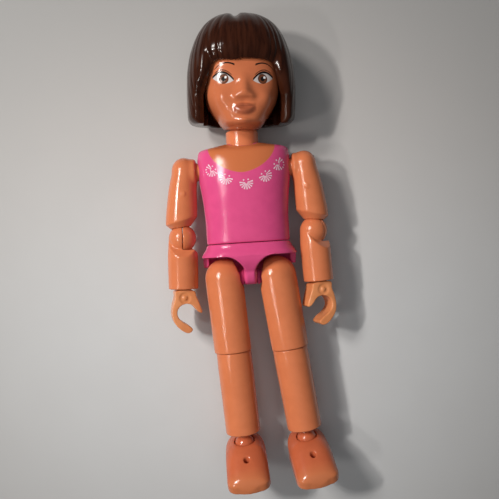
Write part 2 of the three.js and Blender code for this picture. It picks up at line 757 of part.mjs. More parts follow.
// Foot about the ankle ball: side outline along X cut by the plan outline
function foot() {
  const profile = prismX([
    [-soleDrop, -heelReach * 0.93],
    [-soleDrop * 0.55, -heelReach],
    [-heelDip, -heelReach * 0.98],
    [ankleTop - heelDip, -heelReach * 0.62],
    [ankleTop, heelReach * 0.3],
    [ankleTop * 0.95, heelReach * 0.6],
    [ankleTop * 0.45, heelReach * 0.8],
    [-soleDrop + toeHeight * 1.1, toeReach * 0.83],
    [-soleDrop + toeHeight * 0.92, toeReach * 0.95],
    [-soleDrop + toeHeight * 0.65, toeReach],
    [-soleDrop, toeReach],
  ], footHalfWidth);
  const plan = new THREE.Shape();
  const heelHalf = footHalfWidth * 0.9;
  plan.moveTo(-heelHalf, 0);
  plan.quadraticCurveTo(-heelHalf, heelReach, 0, heelReach);
  plan.quadraticCurveTo(heelHalf, heelReach, heelHalf, 0);
  const toeSide = toeReach - toeRounding;
  const toeCorner = footHalfWidth - toeRounding * 0.9;
  plan.lineTo(footHalfWidth, -toeSide);
  plan.quadraticCurveTo(footHalfWidth * 0.97, -toeReach * 0.95, toeCorner, -toeReach * 0.97);
  plan.quadraticCurveTo(0, -toeReach * 1.03, -toeCorner, -toeReach * 0.97);
  plan.quadraticCurveTo(-footHalfWidth * 0.97, -toeReach * 0.95, -footHalfWidth, -toeSide);
  const socketTop = -soleDrop + soleSocketDepth;
  const hole = rod(instepHoleRadius, -soleDrop + soleSocketDepth / 2, far, 8);
  const socket = rod(soleSocketRadius, -far, socketTop).translate(0, 0, soleSocketReach);
  const funnelRadius = ankleMouthRadius + ankleTop * 0.6;
  const funnel = rod(ankleMouthRadius, ankleTop * 0.7, ankleTop + pinGap, limbSides, funnelRadius);
  return profile
    .intersect(prismY(plan, -far, far, 6))
    .subtract(ball(ankleBallRadius + pinGap))
    .subtract(rod(ankleMouthRadius, 0, ankleTop * 0.75))
    .subtract(funnel)
    .subtract(hole.translate(0, 0, instepHoleReach))
    .subtract(socket);
}

// Assembly
const figure = new THREE.Group();

function carry(parent, position, turn = [0, 0, 0]) {
  const group = new THREE.Group();
  group.position.set(...position);
  group.rotation.set(...turn.map(rad));
  parent.add(group);
  return group;
}

const torsoBody = torso();
const half = partingLine / 2;
const frontHalf = torsoBody.intersect(block([-far, -far, half], [far, far, far]));
const backHalf = torsoBody.intersect(block([-far, -far, -far], [far, far, -half]));
figure.add(piece('torso_front', frontHalf, pink));
figure.add(piece('torso_back', backHalf, pink));
figure.add(piece('neck_post', neckPost(), skin));
figure.add(piece('waist_peg', waistPeg(), pink));
figure.add(piece('pelvis', pelvis(), pink));

const headGroup = carry(carry(figure, [0, neckBallLevel, 0], [0, 0, headLean]), [0, 0, 0], [0, headTurn, 0]);
headGroup.add(piece('head', head(), skin));
headGroup.add(piece('hair', hair(), hairBrown));

for (const { name, sign, elbowTurn, handTurn, legLean, footTurn } of sides) {
  const shoulder = carry(figure, [shoulderReach * sign, shoulderHeight, 0]);
  shoulder.add(piece(`${name}_upper_arm`, upperArm(sign), skin));
  const arm = carry(shoulder, [0, 0, 0], [0, 0, sign * armLean]);
  const elbow = carry(arm, [0, -upperArmLength, 0], [0, elbowTurn, 0]);
  const elbowPin = alongX(rod(elbowPinRadius, -elbowPinLength / 2, elbowPinLength / 2, pinSides));
  elbow.add(piece(`${name}_elbow_knuckle`, elbowKnuckle(), skin));
  elbow.add(piece(`${name}_elbow_pin`, elbowPin, innerWhite));
  elbow.add(piece(`${name}_forearm`, forearm(), skin));
  const wrist = carry(elbow, [0, -forearmLength, 0], [0, handTurn, 0]);
  wrist.add(piece(`${name}_hand`, hand(sign), clipSkin));

  carry(figure, [0, -hipDrop, 0]).add(piece(`${name}_hip_stud`, hipStud(sign), pink));
  const leg = carry(figure, [hipHalfWidth * sign, -hipDrop, 0], [0, 0, legLean]);
  leg.add(piece(`${name}_thigh`, thigh(sign), skin));
  const knee = carry(leg, [0, kneeLevel, 0]);
  const kneePin = alongX(rod(kneePinRadius, -kneePinLength / 2, kneePinLength / 2, pinSides));
  knee.add(piece(`${name}_knee_pin`, kneePin, innerWhite));
  knee.add(piece(`${name}_shin`, shin(), skin));
  const ankle = carry(knee, [0, ankleLevel, 0], [0, footTurn, 0]);
  ankle.add(piece(`${name}_ankle_peg`, anklePeg(), footSkin));
  carry(ankle, [0, 0, 0], [footPoint, 0, 0]).add(piece(`${name}_foot`, foot(), footSkin));
}

// The origin lies under the middle of the figure, on the surface that it rests on
const box = new THREE.Box3().setFromObject(figure, true);
const middle = box.getCenter(new THREE.Vector3());
figure.position.set(-middle.x, -middle.y, -box.min.z);

export default figure;
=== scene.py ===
# %% [markdown]
# # A jointed plastic doll on a pale table
# The doll is a small moulded toy that lies on its back: brown-orange limbs with real hinges, a pink
# swimsuit that is moulded in one with the torso and hips, and a glossy brown bob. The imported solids
# already sit in the right places, so this lesson draws each of them once more, with a smooth skin,
# rounded edges and a good plastic. The shapes are drawn in millimetres, in the frame of their own joint,
# and end up in metres, in the doll's frame.

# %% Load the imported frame
import json
import math

import bpy
import numpy as np
from mathutils import Euler, Matrix, Vector


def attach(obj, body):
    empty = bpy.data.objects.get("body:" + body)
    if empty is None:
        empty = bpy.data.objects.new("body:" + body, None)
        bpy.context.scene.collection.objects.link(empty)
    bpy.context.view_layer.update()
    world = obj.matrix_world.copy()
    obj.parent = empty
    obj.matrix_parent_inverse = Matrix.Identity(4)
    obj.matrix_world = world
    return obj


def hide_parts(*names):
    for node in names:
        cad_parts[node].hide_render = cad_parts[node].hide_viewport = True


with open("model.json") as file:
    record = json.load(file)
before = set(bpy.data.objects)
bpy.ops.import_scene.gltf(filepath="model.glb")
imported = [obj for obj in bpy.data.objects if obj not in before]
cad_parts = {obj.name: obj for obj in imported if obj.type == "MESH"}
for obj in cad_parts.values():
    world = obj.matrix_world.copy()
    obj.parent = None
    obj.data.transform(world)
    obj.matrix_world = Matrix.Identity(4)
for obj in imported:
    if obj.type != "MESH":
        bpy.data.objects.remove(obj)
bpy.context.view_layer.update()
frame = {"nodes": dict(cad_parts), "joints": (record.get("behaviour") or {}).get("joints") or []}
scene = bpy.context.scene
joints = {joint["name"]: joint for joint in frame["joints"]}
rad = math.radians
MM = 0.001
print("solids:", len(frame["nodes"]), "joints:", len(joints))

# %% [markdown]
# ## The camera
# The photograph looks straight down, a little turned, from close by, so the feet and the crown lean
# outwards. A focal length in pixels gives Blender's lens once the sensor is as wide as the picture.

# %% Camera
image_side_px = 499
focal_px = 537
camera_height = 0.117
camera_roll = -3.6
below_waist = 0.0014
beside_waist = 0.0001
camera_data = bpy.data.cameras.new("view_from_above")
camera_data.sensor_width = 36
camera_data.lens = camera_data.sensor_width * focal_px / image_side_px
camera_data.clip_start = 0.001
camera = bpy.data.objects.new("view_from_above", camera_data)
waist = Vector(joints["waist_turn"]["pos_m"])
camera.location = (waist.x + beside_waist, waist.y - below_waist, camera_height)
camera.rotation_euler = (0, 0, rad(camera_roll))
scene.collection.objects.link(camera)
scene.camera = camera
print("lens:", round(camera_data.lens, 2), "mm")

# %% [markdown]
# ## Readings
# A material is a little program: it reads where a point is and works out a colour. Wiring each sum by
# hand hides the idea, so a small class turns ordinary arithmetic into math nodes. A reading is one
# number at each point, and a soft ramp over a reading makes the edge of a print or a slow change of
# tone.

# %% Nodes and their inputs
def new_material(name):
    material = bpy.data.materials.new(name)
    material.use_nodes = True
    shader = material.node_tree.nodes["Principled BSDF"]
    return material, material.node_tree, shader


def feed(tree, entry, value):
    """Gives a node's input what it takes: a reading or a socket is linked, anything else is set."""
    if isinstance(value, Reading):
        value = value.socket
    if isinstance(value, bpy.types.NodeSocket):
        tree.links.new(value, entry)
    else:
        entry.default_value = value


def added(tree, kind, **inputs):
    """Adds a node; each input is given by its name, with _ for a space."""
    node = tree.nodes.new(kind)
    for name, value in inputs.items():
        feed(tree, node.inputs[name.replace("_", " ")], value)
    return node


print("node helpers ready")

# %% Arithmetic with nodes
class Reading:
    """A number that a tree reads at each point; sums and products of readings become math nodes."""

    def __init__(self, tree, socket):
        self.tree = tree
        self.socket = socket

    def math(self, operation, *others):
        node = self.tree.nodes.new("ShaderNodeMath")
        node.operation = operation
        for entry, value in zip(node.inputs, (self, *others)):
            feed(self.tree, entry, value)
        return Reading(self.tree, node.outputs[0])

    def __add__(self, other):
        return self.math("ADD", other)

    def __sub__(self, other):
        return self.math("SUBTRACT", other)

    def __mul__(self, other):
        return self.math("MULTIPLY", other)

    def __truediv__(self, other):
        return self.math("DIVIDE", other)

    def __pow__(self, other):
        return self.math("POWER", other)

    def size(self):
        return self.math("ABSOLUTE")

    def most(self, other):
        return self.math("MAXIMUM", other)

    def ramp(self, start, end):
        """0 before start, 1 after end, smooth between; start may be the larger one."""
        node = added(self.tree, "ShaderNodeMapRange", Value=self, From_Min=start, From_Max=end)
        node.interpolation_type = "SMOOTHSTEP"
        return Reading(self.tree, node.outputs["Result"])


print("readings ready")

# %% Noise, mixes and places
def noise(tree, where, scale, detail=2.0):
    node = added(tree, "ShaderNodeTexNoise", Vector=where, Scale=scale, Detail=detail)
    return Reading(tree, node.outputs["Fac"])


def mixed(tree, share, first, second):
    """A colour between two, which are colours or sockets; share is a reading or a socket."""
    node = tree.nodes.new("ShaderNodeMix")
    node.data_type = "RGBA"
    feed(tree, node.inputs["Factor"], share)
    colours = (socket for socket in node.inputs if socket.type == "RGBA")
    for entry, value in zip(colours, (first, second)):
        feed(tree, entry, (*value, 1) if isinstance(value, tuple) else value)
    return next(socket for socket in node.outputs if socket.type == "RGBA")


def object_place(tree):
    return tree.nodes.new("ShaderNodeTexCoord").outputs["Object"]


def coordinates(tree, place):
    """Readings of x, y and z in millimetres, in the frame of the given place."""
    mapping = tree.nodes.new("ShaderNodeMapping")
    mapping.vector_type = "TEXTURE"
    feed(tree, mapping.inputs["Vector"], object_place(tree))
    feed(tree, mapping.inputs["Location"], place.to_translation())
    feed(tree, mapping.inputs["Rotation"], place.to_euler())
    feed(tree, mapping.inputs["Scale"], (MM, MM, MM))
    axes = added(tree, "ShaderNodeSeparateXYZ", Vector=mapping.outputs["Vector"])
    return [Reading(tree, socket) for socket in axes.outputs]


print("patterns ready")

# %% [markdown]
# ## Table and light
# The table is a pale, slightly uneven sheet that is warmer towards the head; painted shade makes it
# dimmer away from the middle, where the light falls off. A broad lamp far off at the upper left
# gives most of the light and the soft shadows. Two small lamps nearer by draw the streaks on the
# plastic: a short one for the chest, a long slim one for the legs. A large panel overhead and a faint
# world fill the shadows; the panel is kept out of mirror reflections, where it would be a pale patch.

# %% Table
table_half = 0.6
table_drop = 0.00003
table_cool = (0.6, 0.605, 0.61)
table_warm = (0.6, 0.57, 0.552)
table_mottle = (0.5, 0.49, 0.49)
mottle_share = 0.12
mottle_scale = 90
# Painted shade: the darker colour that the table takes away from the middle
painted_shade_table = (0.34, 0.335, 0.33)
warm_reach = (-20, 40)
painted_dimming_reach = (15, 95)
painted_light_middle_y = -14
table_mesh = bpy.data.meshes.new("table")
corners = [(x * table_half, y * table_half, -table_drop) for x, y in ((-1, -1), (1, -1), (1, 1), (-1, 1))]
table_mesh.from_pydata(corners, [], [(0, 1, 2, 3)])
table = bpy.data.objects.new("table", table_mesh)
scene.collection.objects.link(table)
table_paint, tree, shader = new_material("pale_table")
x, y, z = coordinates(tree, Matrix.Translation((camera.location.x, camera.location.y, 0)))
sheet = mixed(tree, y.ramp(*warm_reach), table_cool, table_warm)
mottle = noise(tree, object_place(tree), scale=mottle_scale, detail=6.0)
sheet = mixed(tree, mottle.ramp(0.3, 0.7) * mottle_share, sheet, table_mottle)
# Painted shade: the sheet darkens away from a point just below the waist, where the light falls off
along = y - painted_light_middle_y
painted_dimming = (x * x + along * along).math("SQRT").ramp(*painted_dimming_reach)
sheet = mixed(tree, painted_dimming, sheet, painted_shade_table)
feed(tree, shader.inputs["Base Color"], sheet)
shader.inputs["Roughness"].default_value = 0.6
shader.inputs["Specular IOR Level"].default_value = 0.25
table_mesh.materials.append(table_paint)
print("table:", 2 * table_half, "m wide")

# %% Lamps and world
def flat_lamp(name, place, length, width, energy, colour, mirrored=True):
    """A lamp that faces the middle of the table; one that isn't mirrored never shows in the plastic."""
    data = bpy.data.lights.new(name, "AREA")
    data.shape = "RECTANGLE"
    data.size = length
    data.size_y = width
    data.energy = energy
    data.color = colour
    lamp = bpy.data.objects.new(name, data)
    lamp.location = place
    lamp.rotation_euler = Vector(place).to_track_quat("Z", "Y").to_euler()
    lamp.visible_glossy = mirrored
    scene.collection.objects.link(lamp)
    print(name, "at", [round(c, 3) for c in place])


lamp_warm = (1, 0.97, 0.93)
far_warm = (1, 0.96, 0.92)
panel_cool = (0.95, 0.98, 1)
room_cool = (0.93, 0.97, 1, 1)
room_strength = 0.07
flat_lamp("near_lamp", (-0.135, 0.046, 0.175), 0.022, 0.008, 0.215, lamp_warm)
flat_lamp("leg_lamp", (-0.135, -0.042, 0.175), 0.03, 0.005, 0.055, lamp_warm)
flat_lamp("far_lamp", (-0.3, 0.23, 0.4), 0.11, 0.09, 1.2, far_warm)
flat_lamp("ceiling_lamp", (0.0, -0.06, 0.4), 0.34, 0.34, 0.29, panel_cool, mirrored=False)
world = bpy.data.worlds.new("room")
world.use_nodes = True
background = world.node_tree.nodes["Background"]
background.inputs["Color"].default_value = room_cool
background.inputs["Strength"].default_value = room_strength
scene.world = world
scene.view_settings.view_transform = "Standard"

# %% [markdown]
# ## Shape tools
# Moulded parts are easiest as solids that are cut and fused: a limb is a tube with a socket cut out of
# it. Each tool below gives a closed mesh in millimetres. Tubes and bodies are skins over stacked ovals,
# so a smooth curve through a few named ovals is enough; pins, balls and sockets are turned profiles;
# the rest are prisms.

# %% Meshes from points
def solid(points, faces):
    mesh = bpy.data.meshes.new("solid")
    mesh.from_pydata([tuple(map(float, point)) for point in points], [], faces)
    mesh.update()
    thing = bpy.data.objects.new("solid", mesh)
    scene.collection.objects.link(thing)
    return thing


def smooth_through(knots, values, fine):
    """Values on a curve through the knots that never swings past them."""
    span = np.diff(knots)
    slope = np.diff(values) / span
    bend = np.zeros(len(knots))
    same_way = slope[:-1] * slope[1:] > 0
    with np.errstate(divide="ignore", invalid="ignore"):
        mean = 2 * slope[:-1] * slope[1:] / (slope[:-1] + slope[1:])
    bend[1:-1] = np.where(same_way, mean, 0)
    bend[0] = slope[0]
    bend[-1] = slope[-1]
    i = np.clip(np.searchsorted(knots, fine) - 1, 0, len(span) - 1)
    t = (fine - knots[i]) / span[i]
    low = values[i] + t * span[i] * bend[i] * (1 - t) ** 2
    rise = (values[i + 1] - values[i]) * t * t * (3 - 2 * t)
    return low + rise - t * t * (1 - t) * span[i] * bend[i + 1]


print("curve tools ready")

# %% Skins over ovals
def oval(y, half_width, back, front, power=2.0, aside=0.0):
    """A level of a skin; a power above 2 makes its corners squarer."""
    return (y, half_width, back, front, power, aside)


def tube(y, radius):
    return oval(y, radius, -radius, radius)


def smooth_rows(ovals, steps):
    rows = np.array(ovals, float)
    along = np.hypot(np.diff(rows[:, 0]), np.diff(rows[:, 1])) + 1e-6
    knots = np.concatenate([[0], np.cumsum(along)])
    fine = np.linspace(0, knots[-1], steps)
    return np.stack([smooth_through(knots, rows[:, c], fine) for c in range(rows.shape[1])], 1)


def skin_grid(rows, around):
    angle = np.linspace(0, 2 * math.pi, around, endpoint=False)
    across = np.cos(angle)
    ahead = np.sin(angle)
    grid = np.zeros((len(rows), around, 3))
    for row, (y, half_width, back, front, power, aside) in zip(grid, rows):
        row[:, 0] = aside + half_width * np.sign(across) * np.abs(across) ** (2 / power)
        row[:, 1] = y
        row[:, 2] = (front + back) / 2 + (front - back) / 2 * np.sign(ahead) * np.abs(ahead) ** (2 / power)
    return grid


def skin(grid):
    """A closed solid over rows of points that go round from +X through +Z, stacked upwards."""
    count, around = grid.shape[:2]
    points = list(grid.reshape(-1, 3)) + [grid[0].mean(0), grid[-1].mean(0)]
    faces = []
    for row in range(count - 1):
        for i in range(around):
            a = row * around + i
            b = row * around + (i + 1) % around
            faces.append((a, a + around, b + around, b))
    for i in range(around):
        after = (i + 1) % around
        faces.append((count * around, i, after))
        faces.append((count * around + 1, (count - 1) * around + after, (count - 1) * around + i))
    return solid(points, faces)


limb_sides = 96
body_sides = 128


def lofted(ovals, steps=40, around=limb_sides):
    return skin(skin_grid(smooth_rows(ovals, steps), around))


print("skin tools ready")

# %% Turned solids
def turned(profile, around=64):
    """A solid of revolution about Y from (radius, y) points that start and end on the axis, upwards."""
    angle = np.linspace(0, 2 * math.pi, around, endpoint=False)
    points = []
    rings = []
    for radius, y in profile:
        if radius < 1e-6:
            rings.append([len(points)] * around)
            points.append((0, y, 0))
        else:
            rings.append(list(range(len(points), len(points) + around)))
            points += [(radius * math.cos(a), y, radius * math.sin(a)) for a in angle]
    faces = []
    for low, high in zip(rings, rings[1:]):
        for i in range(around):
            j = (i + 1) % around
            corner = [low[i], high[i], high[j], low[j]]
            corner = [c for k, c in enumerate(corner) if c not in corner[:k]]
            if len(corner) > 2:
                faces.append(tuple(corner))
    return solid(points, faces)


def arc(centre, radius, start, end, steps=16):
    angle = np.radians(np.linspace(start, end, steps + 1))
    across = np.cos(angle) * radius
    across[np.abs(across) < 1e-9] = 0
    return list(zip(across, centre + np.sin(angle) * radius))


def rod(radius, start, end, end_radius=None):
    top = radius if end_radius is None else end_radius
    return turned([(0, start), (radius, start), (top, end), (0, end)])


def ball(radius):
    return turned(arc(0, radius, -90, 90, 40), limb_sides)


print("turning tools ready")

# %% Extruded solids
def prism(outline, start, end, place_point):
    """Extrudes an outline of (a, b) points; place_point(a, b, depth) puts each point in space."""
    count = len(outline)
    points = [place_point(a, b, depth) for depth in (start, end) for a, b in outline]
    walls = [(i, (i + 1) % count, count + (i + 1) % count, count + i) for i in range(count)]
    ends = [tuple(range(count))[::-1], tuple(range(count, 2 * count))]
    thing = solid(points, walls + ends)
    area = sum(a * d - b * c for (a, b), (c, d) in zip(outline, outline[1:] + outline[:1]))
    handed = np.linalg.det([place_point(*unit) for unit in ((1, 0, 0), (0, 1, 0), (0, 0, 1))])
    if area * handed < 0:
        thing.data.flip_normals()
    return thing


def prism_x(outline, half):
    return prism(outline, -half, half, lambda y, z, depth: (depth, y, z))


def prism_y(outline, start, end):
    return prism(outline, start, end, lambda x, z, depth: (x, depth, z))


def prism_z(outline, start, end):
    return prism(outline, start, end, lambda x, y, depth: (x, y, depth))


far = 40


def slab(x=(-far, far), y=(-far, far), z=(-far, far)):
    """A block that reaches far out wherever no limits are given."""
    return prism_z([(x[0], y[0]), (x[1], y[0]), (x[1], y[1]), (x[0], y[1])], *z)


def bend_to(start, pull, end, steps=12):
    """Points on a quadratic curve, without its start."""
    t = np.linspace(0, 1, steps + 1)[1:, None]
    path = (1 - t) ** 2 * np.array(start) + 2 * t * (1 - t) * np.array(pull) + t * t * np.array(end)
    return [tuple(point) for point in path]


print("prism tools ready")

# %% Move, cut and fuse
def moved(thing, *steps):
    for step in reversed(steps):
        thing.data.transform(step)
    return thing


def turn(axis, degrees):
    return Matrix.Rotation(rad(degrees), 4, axis)


def shift(x, y, z):
    return Matrix.Translation((x, y, z))


def along_x(thing):
    return moved(thing, turn("Z", -90))


def along_z(thing):
    return moved(thing, turn("X", 90))


def baked(thing):
    """Makes the modifiers' result the object's own mesh."""
    bpy.context.view_layer.update()
    result = bpy.data.meshes.new_from_object(thing.evaluated_get(bpy.context.evaluated_depsgraph_get()))
    old = thing.data
    thing.modifiers.clear()
    thing.data = result
    bpy.data.meshes.remove(old)
    return thing


def combined(operation, first, others):
    for other in others:
        step = first.modifiers.new("step", "BOOLEAN")
        step.operation = operation
        step.solver = "MANIFOLD"
        step.object = other
    baked(first)
    for other in others:
        bpy.data.objects.remove(other)
    return first


def cut(first, *others):
    return combined("DIFFERENCE", first, others)


def fuse(first, *others):
    return combined("UNION", first, others)


def common(first, *others):
    return combined("INTERSECT", first, others)


print("cutting tools ready")

# %% [markdown]
# ## Moulded edges
# Nothing that comes out of a steel mould has a sharp edge. A fine voxel remesh followed by a few
# relaxing steps rounds every edge by a tenth of a millimetre or two and also hides where two solids
# were fused. Then the piece goes from millimetres in its own joint frame to metres in the doll's frame,
# and rides on its body.

# %% Finish a piece
voxel = 0.14
pieces = []
sides = {"left": 1, "right": -1}


def moulded(thing, size=voxel, relax=5):
    remesh = thing.modifiers.new("remesh", "REMESH")
    remesh.mode = "VOXEL"
    remesh.voxel_size = size
    remesh.use_smooth_shade = True
    ease = thing.modifiers.new("ease", "SMOOTH")
    ease.factor = 0.5
    ease.iterations = relax
    return baked(thing)


def finished(thing, name, place, body, slot, material, *nodes):
    """Puts a piece in its place in metres, with its material, its body and the solids that it stands for."""
    thing.name = name
    thing.data.name = name
    thing.data.transform(place @ Matrix.Scale(MM, 4))
    thing.data.materials.clear()
    thing.data.materials.append(material)
    thing.data.polygons.foreach_set("use_smooth", [True] * len(thing.data.polygons))
    thing.data.update()
    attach(thing, body)
    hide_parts(*nodes)
    pieces.append(name)
    print(name, len(thing.data.polygons), "faces")


def paired(name, thing, piece, place, body, slot, material, node=None):
    """Finishes a piece that each side has; its solid has its body's name unless another is given."""
    finished(thing, f"{name}_{piece}", place, f"{name}_{body}", slot, material, f"{name}_{node or body}")


def at(joint, *turns):
    """The place of a joint, turned step by step."""
    place = Matrix.Translation(joints[joint]["pos_m"])
    for step in turns:
        place = place @ step
    return place


print("voxel:", voxel, "mm")

# %% [markdown]
# ## Plastics
# All the plastics share one surface: long soft waves from the mould and a very fine grain that breaks
# each highlight into a jagged streak. A node group makes it once, with named outputs. Each material
# keeps its own Principled shader and mixes two tones of its colour by the group's slow noise.

# %% Shared moulded surface
surface = bpy.data.node_groups.new("moulded_surface", "ShaderNodeTree")
for name, value in (("Waves", 420), ("Grain", 5200), ("Dullness", 0.25)):
    surface.interface.new_socket(name, in_out="INPUT", socket_type="NodeSocketFloat").default_value = value
for name in ("Tone", "Roughness", "Height"):
    surface.interface.new_socket(name, in_out="OUTPUT", socket_type="NodeSocketFloat")
wave_height = 0.45
grain_height = 0.55
wave_dullness = 0.08
grain_dullness = 0.1
entry = surface.nodes.new("NodeGroupInput")
result = surface.nodes.new("NodeGroupOutput")
where = object_place(surface)
waves = noise(surface, where, entry.outputs["Waves"])
grain = noise(surface, where, entry.outputs["Grain"], detail=1.0)
dullness = Reading(surface, entry.outputs["Dullness"])
roughness = dullness + (waves - 0.5) * wave_dullness + (grain - 0.5) * grain_dullness
feed(surface, result.inputs["Tone"], waves.ramp(0.3, 0.7))
feed(surface, result.inputs["Roughness"], roughness)
feed(surface, result.inputs["Height"], waves * wave_height + grain * grain_height)
print("surface group:", len(surface.nodes), "nodes")

# %% Plain plastics
relief_height = 0.06 * MM


def plastic(name, light, dark, dullness=0.25, bump=0.5, specular=0.5):
    """A moulded plastic in two tones. Returns the material, its tree, its shader and the colour socket."""
    material, tree, shader = new_material(name)
    group = tree.nodes.new("ShaderNodeGroup")
    group.node_tree = surface
    group.inputs["Dullness"].default_value = dullness
    colour = mixed(tree, group.outputs["Tone"], dark, light)
    height = group.outputs["Height"]
    relief = added(tree, "ShaderNodeBump", Strength=bump, Distance=relief_height, Height=height)
    feed(tree, shader.inputs["Base Color"], colour)
    feed(tree, shader.inputs["Roughness"], group.outputs["Roughness"])
    feed(tree, shader.inputs["Normal"], relief.outputs["Normal"])
    shader.inputs["Specular IOR Level"].default_value = specular
    return material, tree, shader, colour


skin_light = (0.7, 0.207, 0.085)
skin_dark = (0.665, 0.193, 0.079)
hand_light = (0.8, 0.3, 0.118)
hand_dark = (0.72, 0.255, 0.095)
foot_light = (0.58, 0.135, 0.055)
foot_dark = (0.54, 0.122, 0.05)
# Painted light: the lighter colour that the toe is mixed towards
toe_painted_light = (0.62, 0.2, 0.08)
pin_light = (0.66, 0.64, 0.6)
pin_dark = (0.6, 0.58, 0.54)
pink_light = (0.76, 0.085, 0.25)
pink_dark = (0.72, 0.078, 0.235)
skin_plastic = plastic("skin_plastic", skin_light, skin_dark, dullness=0.16, bump=0.6)[0]
hand_plastic = plastic("hand_plastic", hand_light, hand_dark, dullness=0.24)[0]
ankle_plastic = plastic("ankle_plastic", foot_light, foot_dark, dullness=0.2)[0]
pin_plastic = plastic("pin_plastic", pin_light, pin_dark, dullness=0.45)[0]
pink_plastic = plastic("pink_plastic", pink_light, pink_dark, dullness=0.16)[0]
print("plain plastics ready")

# %% [markdown]
# ## Torso
# The torso is a soft-edged box of plastic: ovals with squarish corners, narrower at the waist, closed
# by sloping shoulders round the neck hole. The real one is two shells; their seam hardly shows, so one
# solid stands for both. Inside it has rooms for the flanges of the neck, the arms and the waist peg.

# %% Torso shape
gap = 0.3
pin_gap = 0.15
waist_seam = 0.05
torso_height = 19.0
collar_rise = 1.0
neck_seat = torso_height + collar_rise
chest_half = 9.45
chest_depth = 6.2
waist_half = 8.45
waist_depth = 5.5
collar_half = 4.6
collar_depth = 2.8
shoulder_round = 1.1
torso_wall = 1.3
flange_top = torso_height - 1.6
neck_radius = 3.3
neck_flange = 4.3
neck_flange_thickness = 1.2
waist_stem = 2.6
waist_flange = 4.1
waist_flange_low = 2.6
waist_flange_thickness = 1.3
shoulder_height = 15.0
shoulder_pin = 1.8
shoulder_flange = 2.6
shoulder_flange_thickness = 1.1
shoulder_flange_out = chest_half - torso_wall - shoulder_flange_thickness
arm_radius = 3.15
arm_inside = chest_half + 0.3
shoulder_reach = arm_inside + arm_radius


def even(y, half_width, half_depth, power):
    return oval(y, half_width, -half_depth, half_depth, power)


def torso_shape():
    body = lofted([
        even(waist_seam, waist_half - 0.1, waist_depth - 0.25, 2.35),
        even(waist_seam + 0.12, waist_half, waist_depth - 0.15, 2.35),
        even(torso_height * 0.25, waist_half * 1.005, waist_depth * 1.055, 2.3),
        even(torso_height * 0.5, waist_half + 0.4, chest_depth, 2.25),
        even(torso_height * 0.7, chest_half * 0.985, chest_depth * 1.02, 2.25),
        even(torso_height * 0.8, chest_half * 0.995, chest_depth * 0.99, 2.25),
        even(torso_height - 2.2 * shoulder_round, chest_half, chest_depth * 0.95, 2.3),
        even(torso_height - 0.9 * shoulder_round, chest_half * 0.985, chest_depth * 0.88, 2.35),
        even(torso_height - 0.25 * shoulder_round, chest_half * 0.965, chest_depth * 0.77, 2.4),
        even(torso_height + 0.15 * collar_rise, chest_half * 0.9, chest_depth * 0.63, 2.4),
        even(torso_height + 0.55 * collar_rise, (chest_half + collar_half) / 2, collar_depth * 1.15, 2.1),
        even(neck_seat, collar_half, collar_depth, 2),
    ], steps=90, around=body_sides)
    rooms = [
        rod(neck_radius + gap, flange_top, far),
        rod(neck_flange + gap, flange_top - neck_flange_thickness - gap, flange_top + gap),
        rod(waist_stem + gap, -far, waist_flange_low),
        rod(waist_flange + gap, waist_flange_low - gap, waist_flange_low + waist_flange_thickness + gap),
    ]
    for side in (-1, 1):
        low = shoulder_flange_out - shoulder_flange_thickness - gap
        room = sorted((low * side, (shoulder_flange_out + gap) * side))
        bore = sorted((low * side, far * side))
        rooms.append(moved(along_x(rod(shoulder_flange + gap, *room)), shift(0, shoulder_height, 0)))
        rooms.append(moved(along_x(rod(shoulder_pin + pin_gap, *bore)), shift(0, shoulder_height, 0)))
    return cut(body, *rooms)


torso = moulded(torso_shape(), size=0.16, relax=4)
print("torso drawn")

# %% [markdown]
# ## Printed neckline
# The swimsuit's scoop is flesh-coloured print on pink plastic. An oval with its middle at the top of the
# shoulders gives the curve; the same oval, shallower, serves the back. A thin pink rim stays bare round
# the neck hole, and the print stops at the inner edge of each strap.

# %% Suit material with its neckline
scoop_middle = -0.3
scoop_half = 6.65
scoop_level = torso_height
scoop_drop_front = 5.4
scoop_drop_back = 2.8
scoop_power = 1.75
rim_radius = neck_radius + gap + 0.3
rim_soft = 0.6
soft_edge = 0.03
print_skin = (0.6, 0.17, 0.062)


def suit_material():
    material, tree, shader, pink = plastic("suit_plastic", pink_light, pink_dark, dullness=0.16, bump=0.6)
    x, y, z = coordinates(tree, at("waist_turn"))
    front = z.ramp(-0.3, 0.3)
    drop = front * (scoop_drop_front - scoop_drop_back) + scoop_drop_back
    below = ((y * -1 + scoop_level).most(0) / drop) ** scoop_power
    beside = ((x - scoop_middle).size() / scoop_half) ** scoop_power
    scoop = (below + beside).ramp(1 + soft_edge, 1 - soft_edge)
    rim = (x * x + z * z).ramp(rim_radius ** 2 - rim_soft, rim_radius ** 2 + rim_soft)
    feed(tree, shader.inputs["Base Color"], mixed(tree, scoop * rim, pink, print_skin))
    return material


suit_plastic = suit_material()
finished(torso, "torso_shell", at("waist_turn"), "torso", "suit", suit_plastic, "torso_front", "torso_back")

# %% [markdown]
# ## Neck post
# A plain turned post: a flange that the torso traps, the neck that shows, and a ball that the head
# clips onto.

# %% Neck
neck_shown = 2.3
chin_level = neck_seat + neck_shown
neck_ball = 2.5
neck_stem = 1.8
neck_taper = 0.4
chin_drop = 2.6
neck_ball_level = chin_level + chin_drop


def meeting(neck, radius):
    """The angle at which a neck runs into its ball."""
    return math.degrees(math.acos(neck / radius))


neck = turned([
    (0, flange_top - neck_flange_thickness),
    (neck_flange, flange_top - neck_flange_thickness),
    (neck_flange, flange_top),
    (neck_radius, flange_top),
    (neck_radius, chin_level + gap),
    (neck_stem, chin_level + gap + neck_taper),
    *arc(neck_ball_level, neck_ball, -meeting(neck_stem, neck_ball), 90),
], limb_sides)
finished(moulded(neck), "neck", at("waist_turn"), "neck", "skin", skin_plastic, "neck_post")

# %% [markdown]
# ## Hips
# The pelvis is a flared hem under the waist with a seat behind and a narrow web between the thighs,
# where the hip studs turn. The leg openings are arcs that run from the hem into the web.

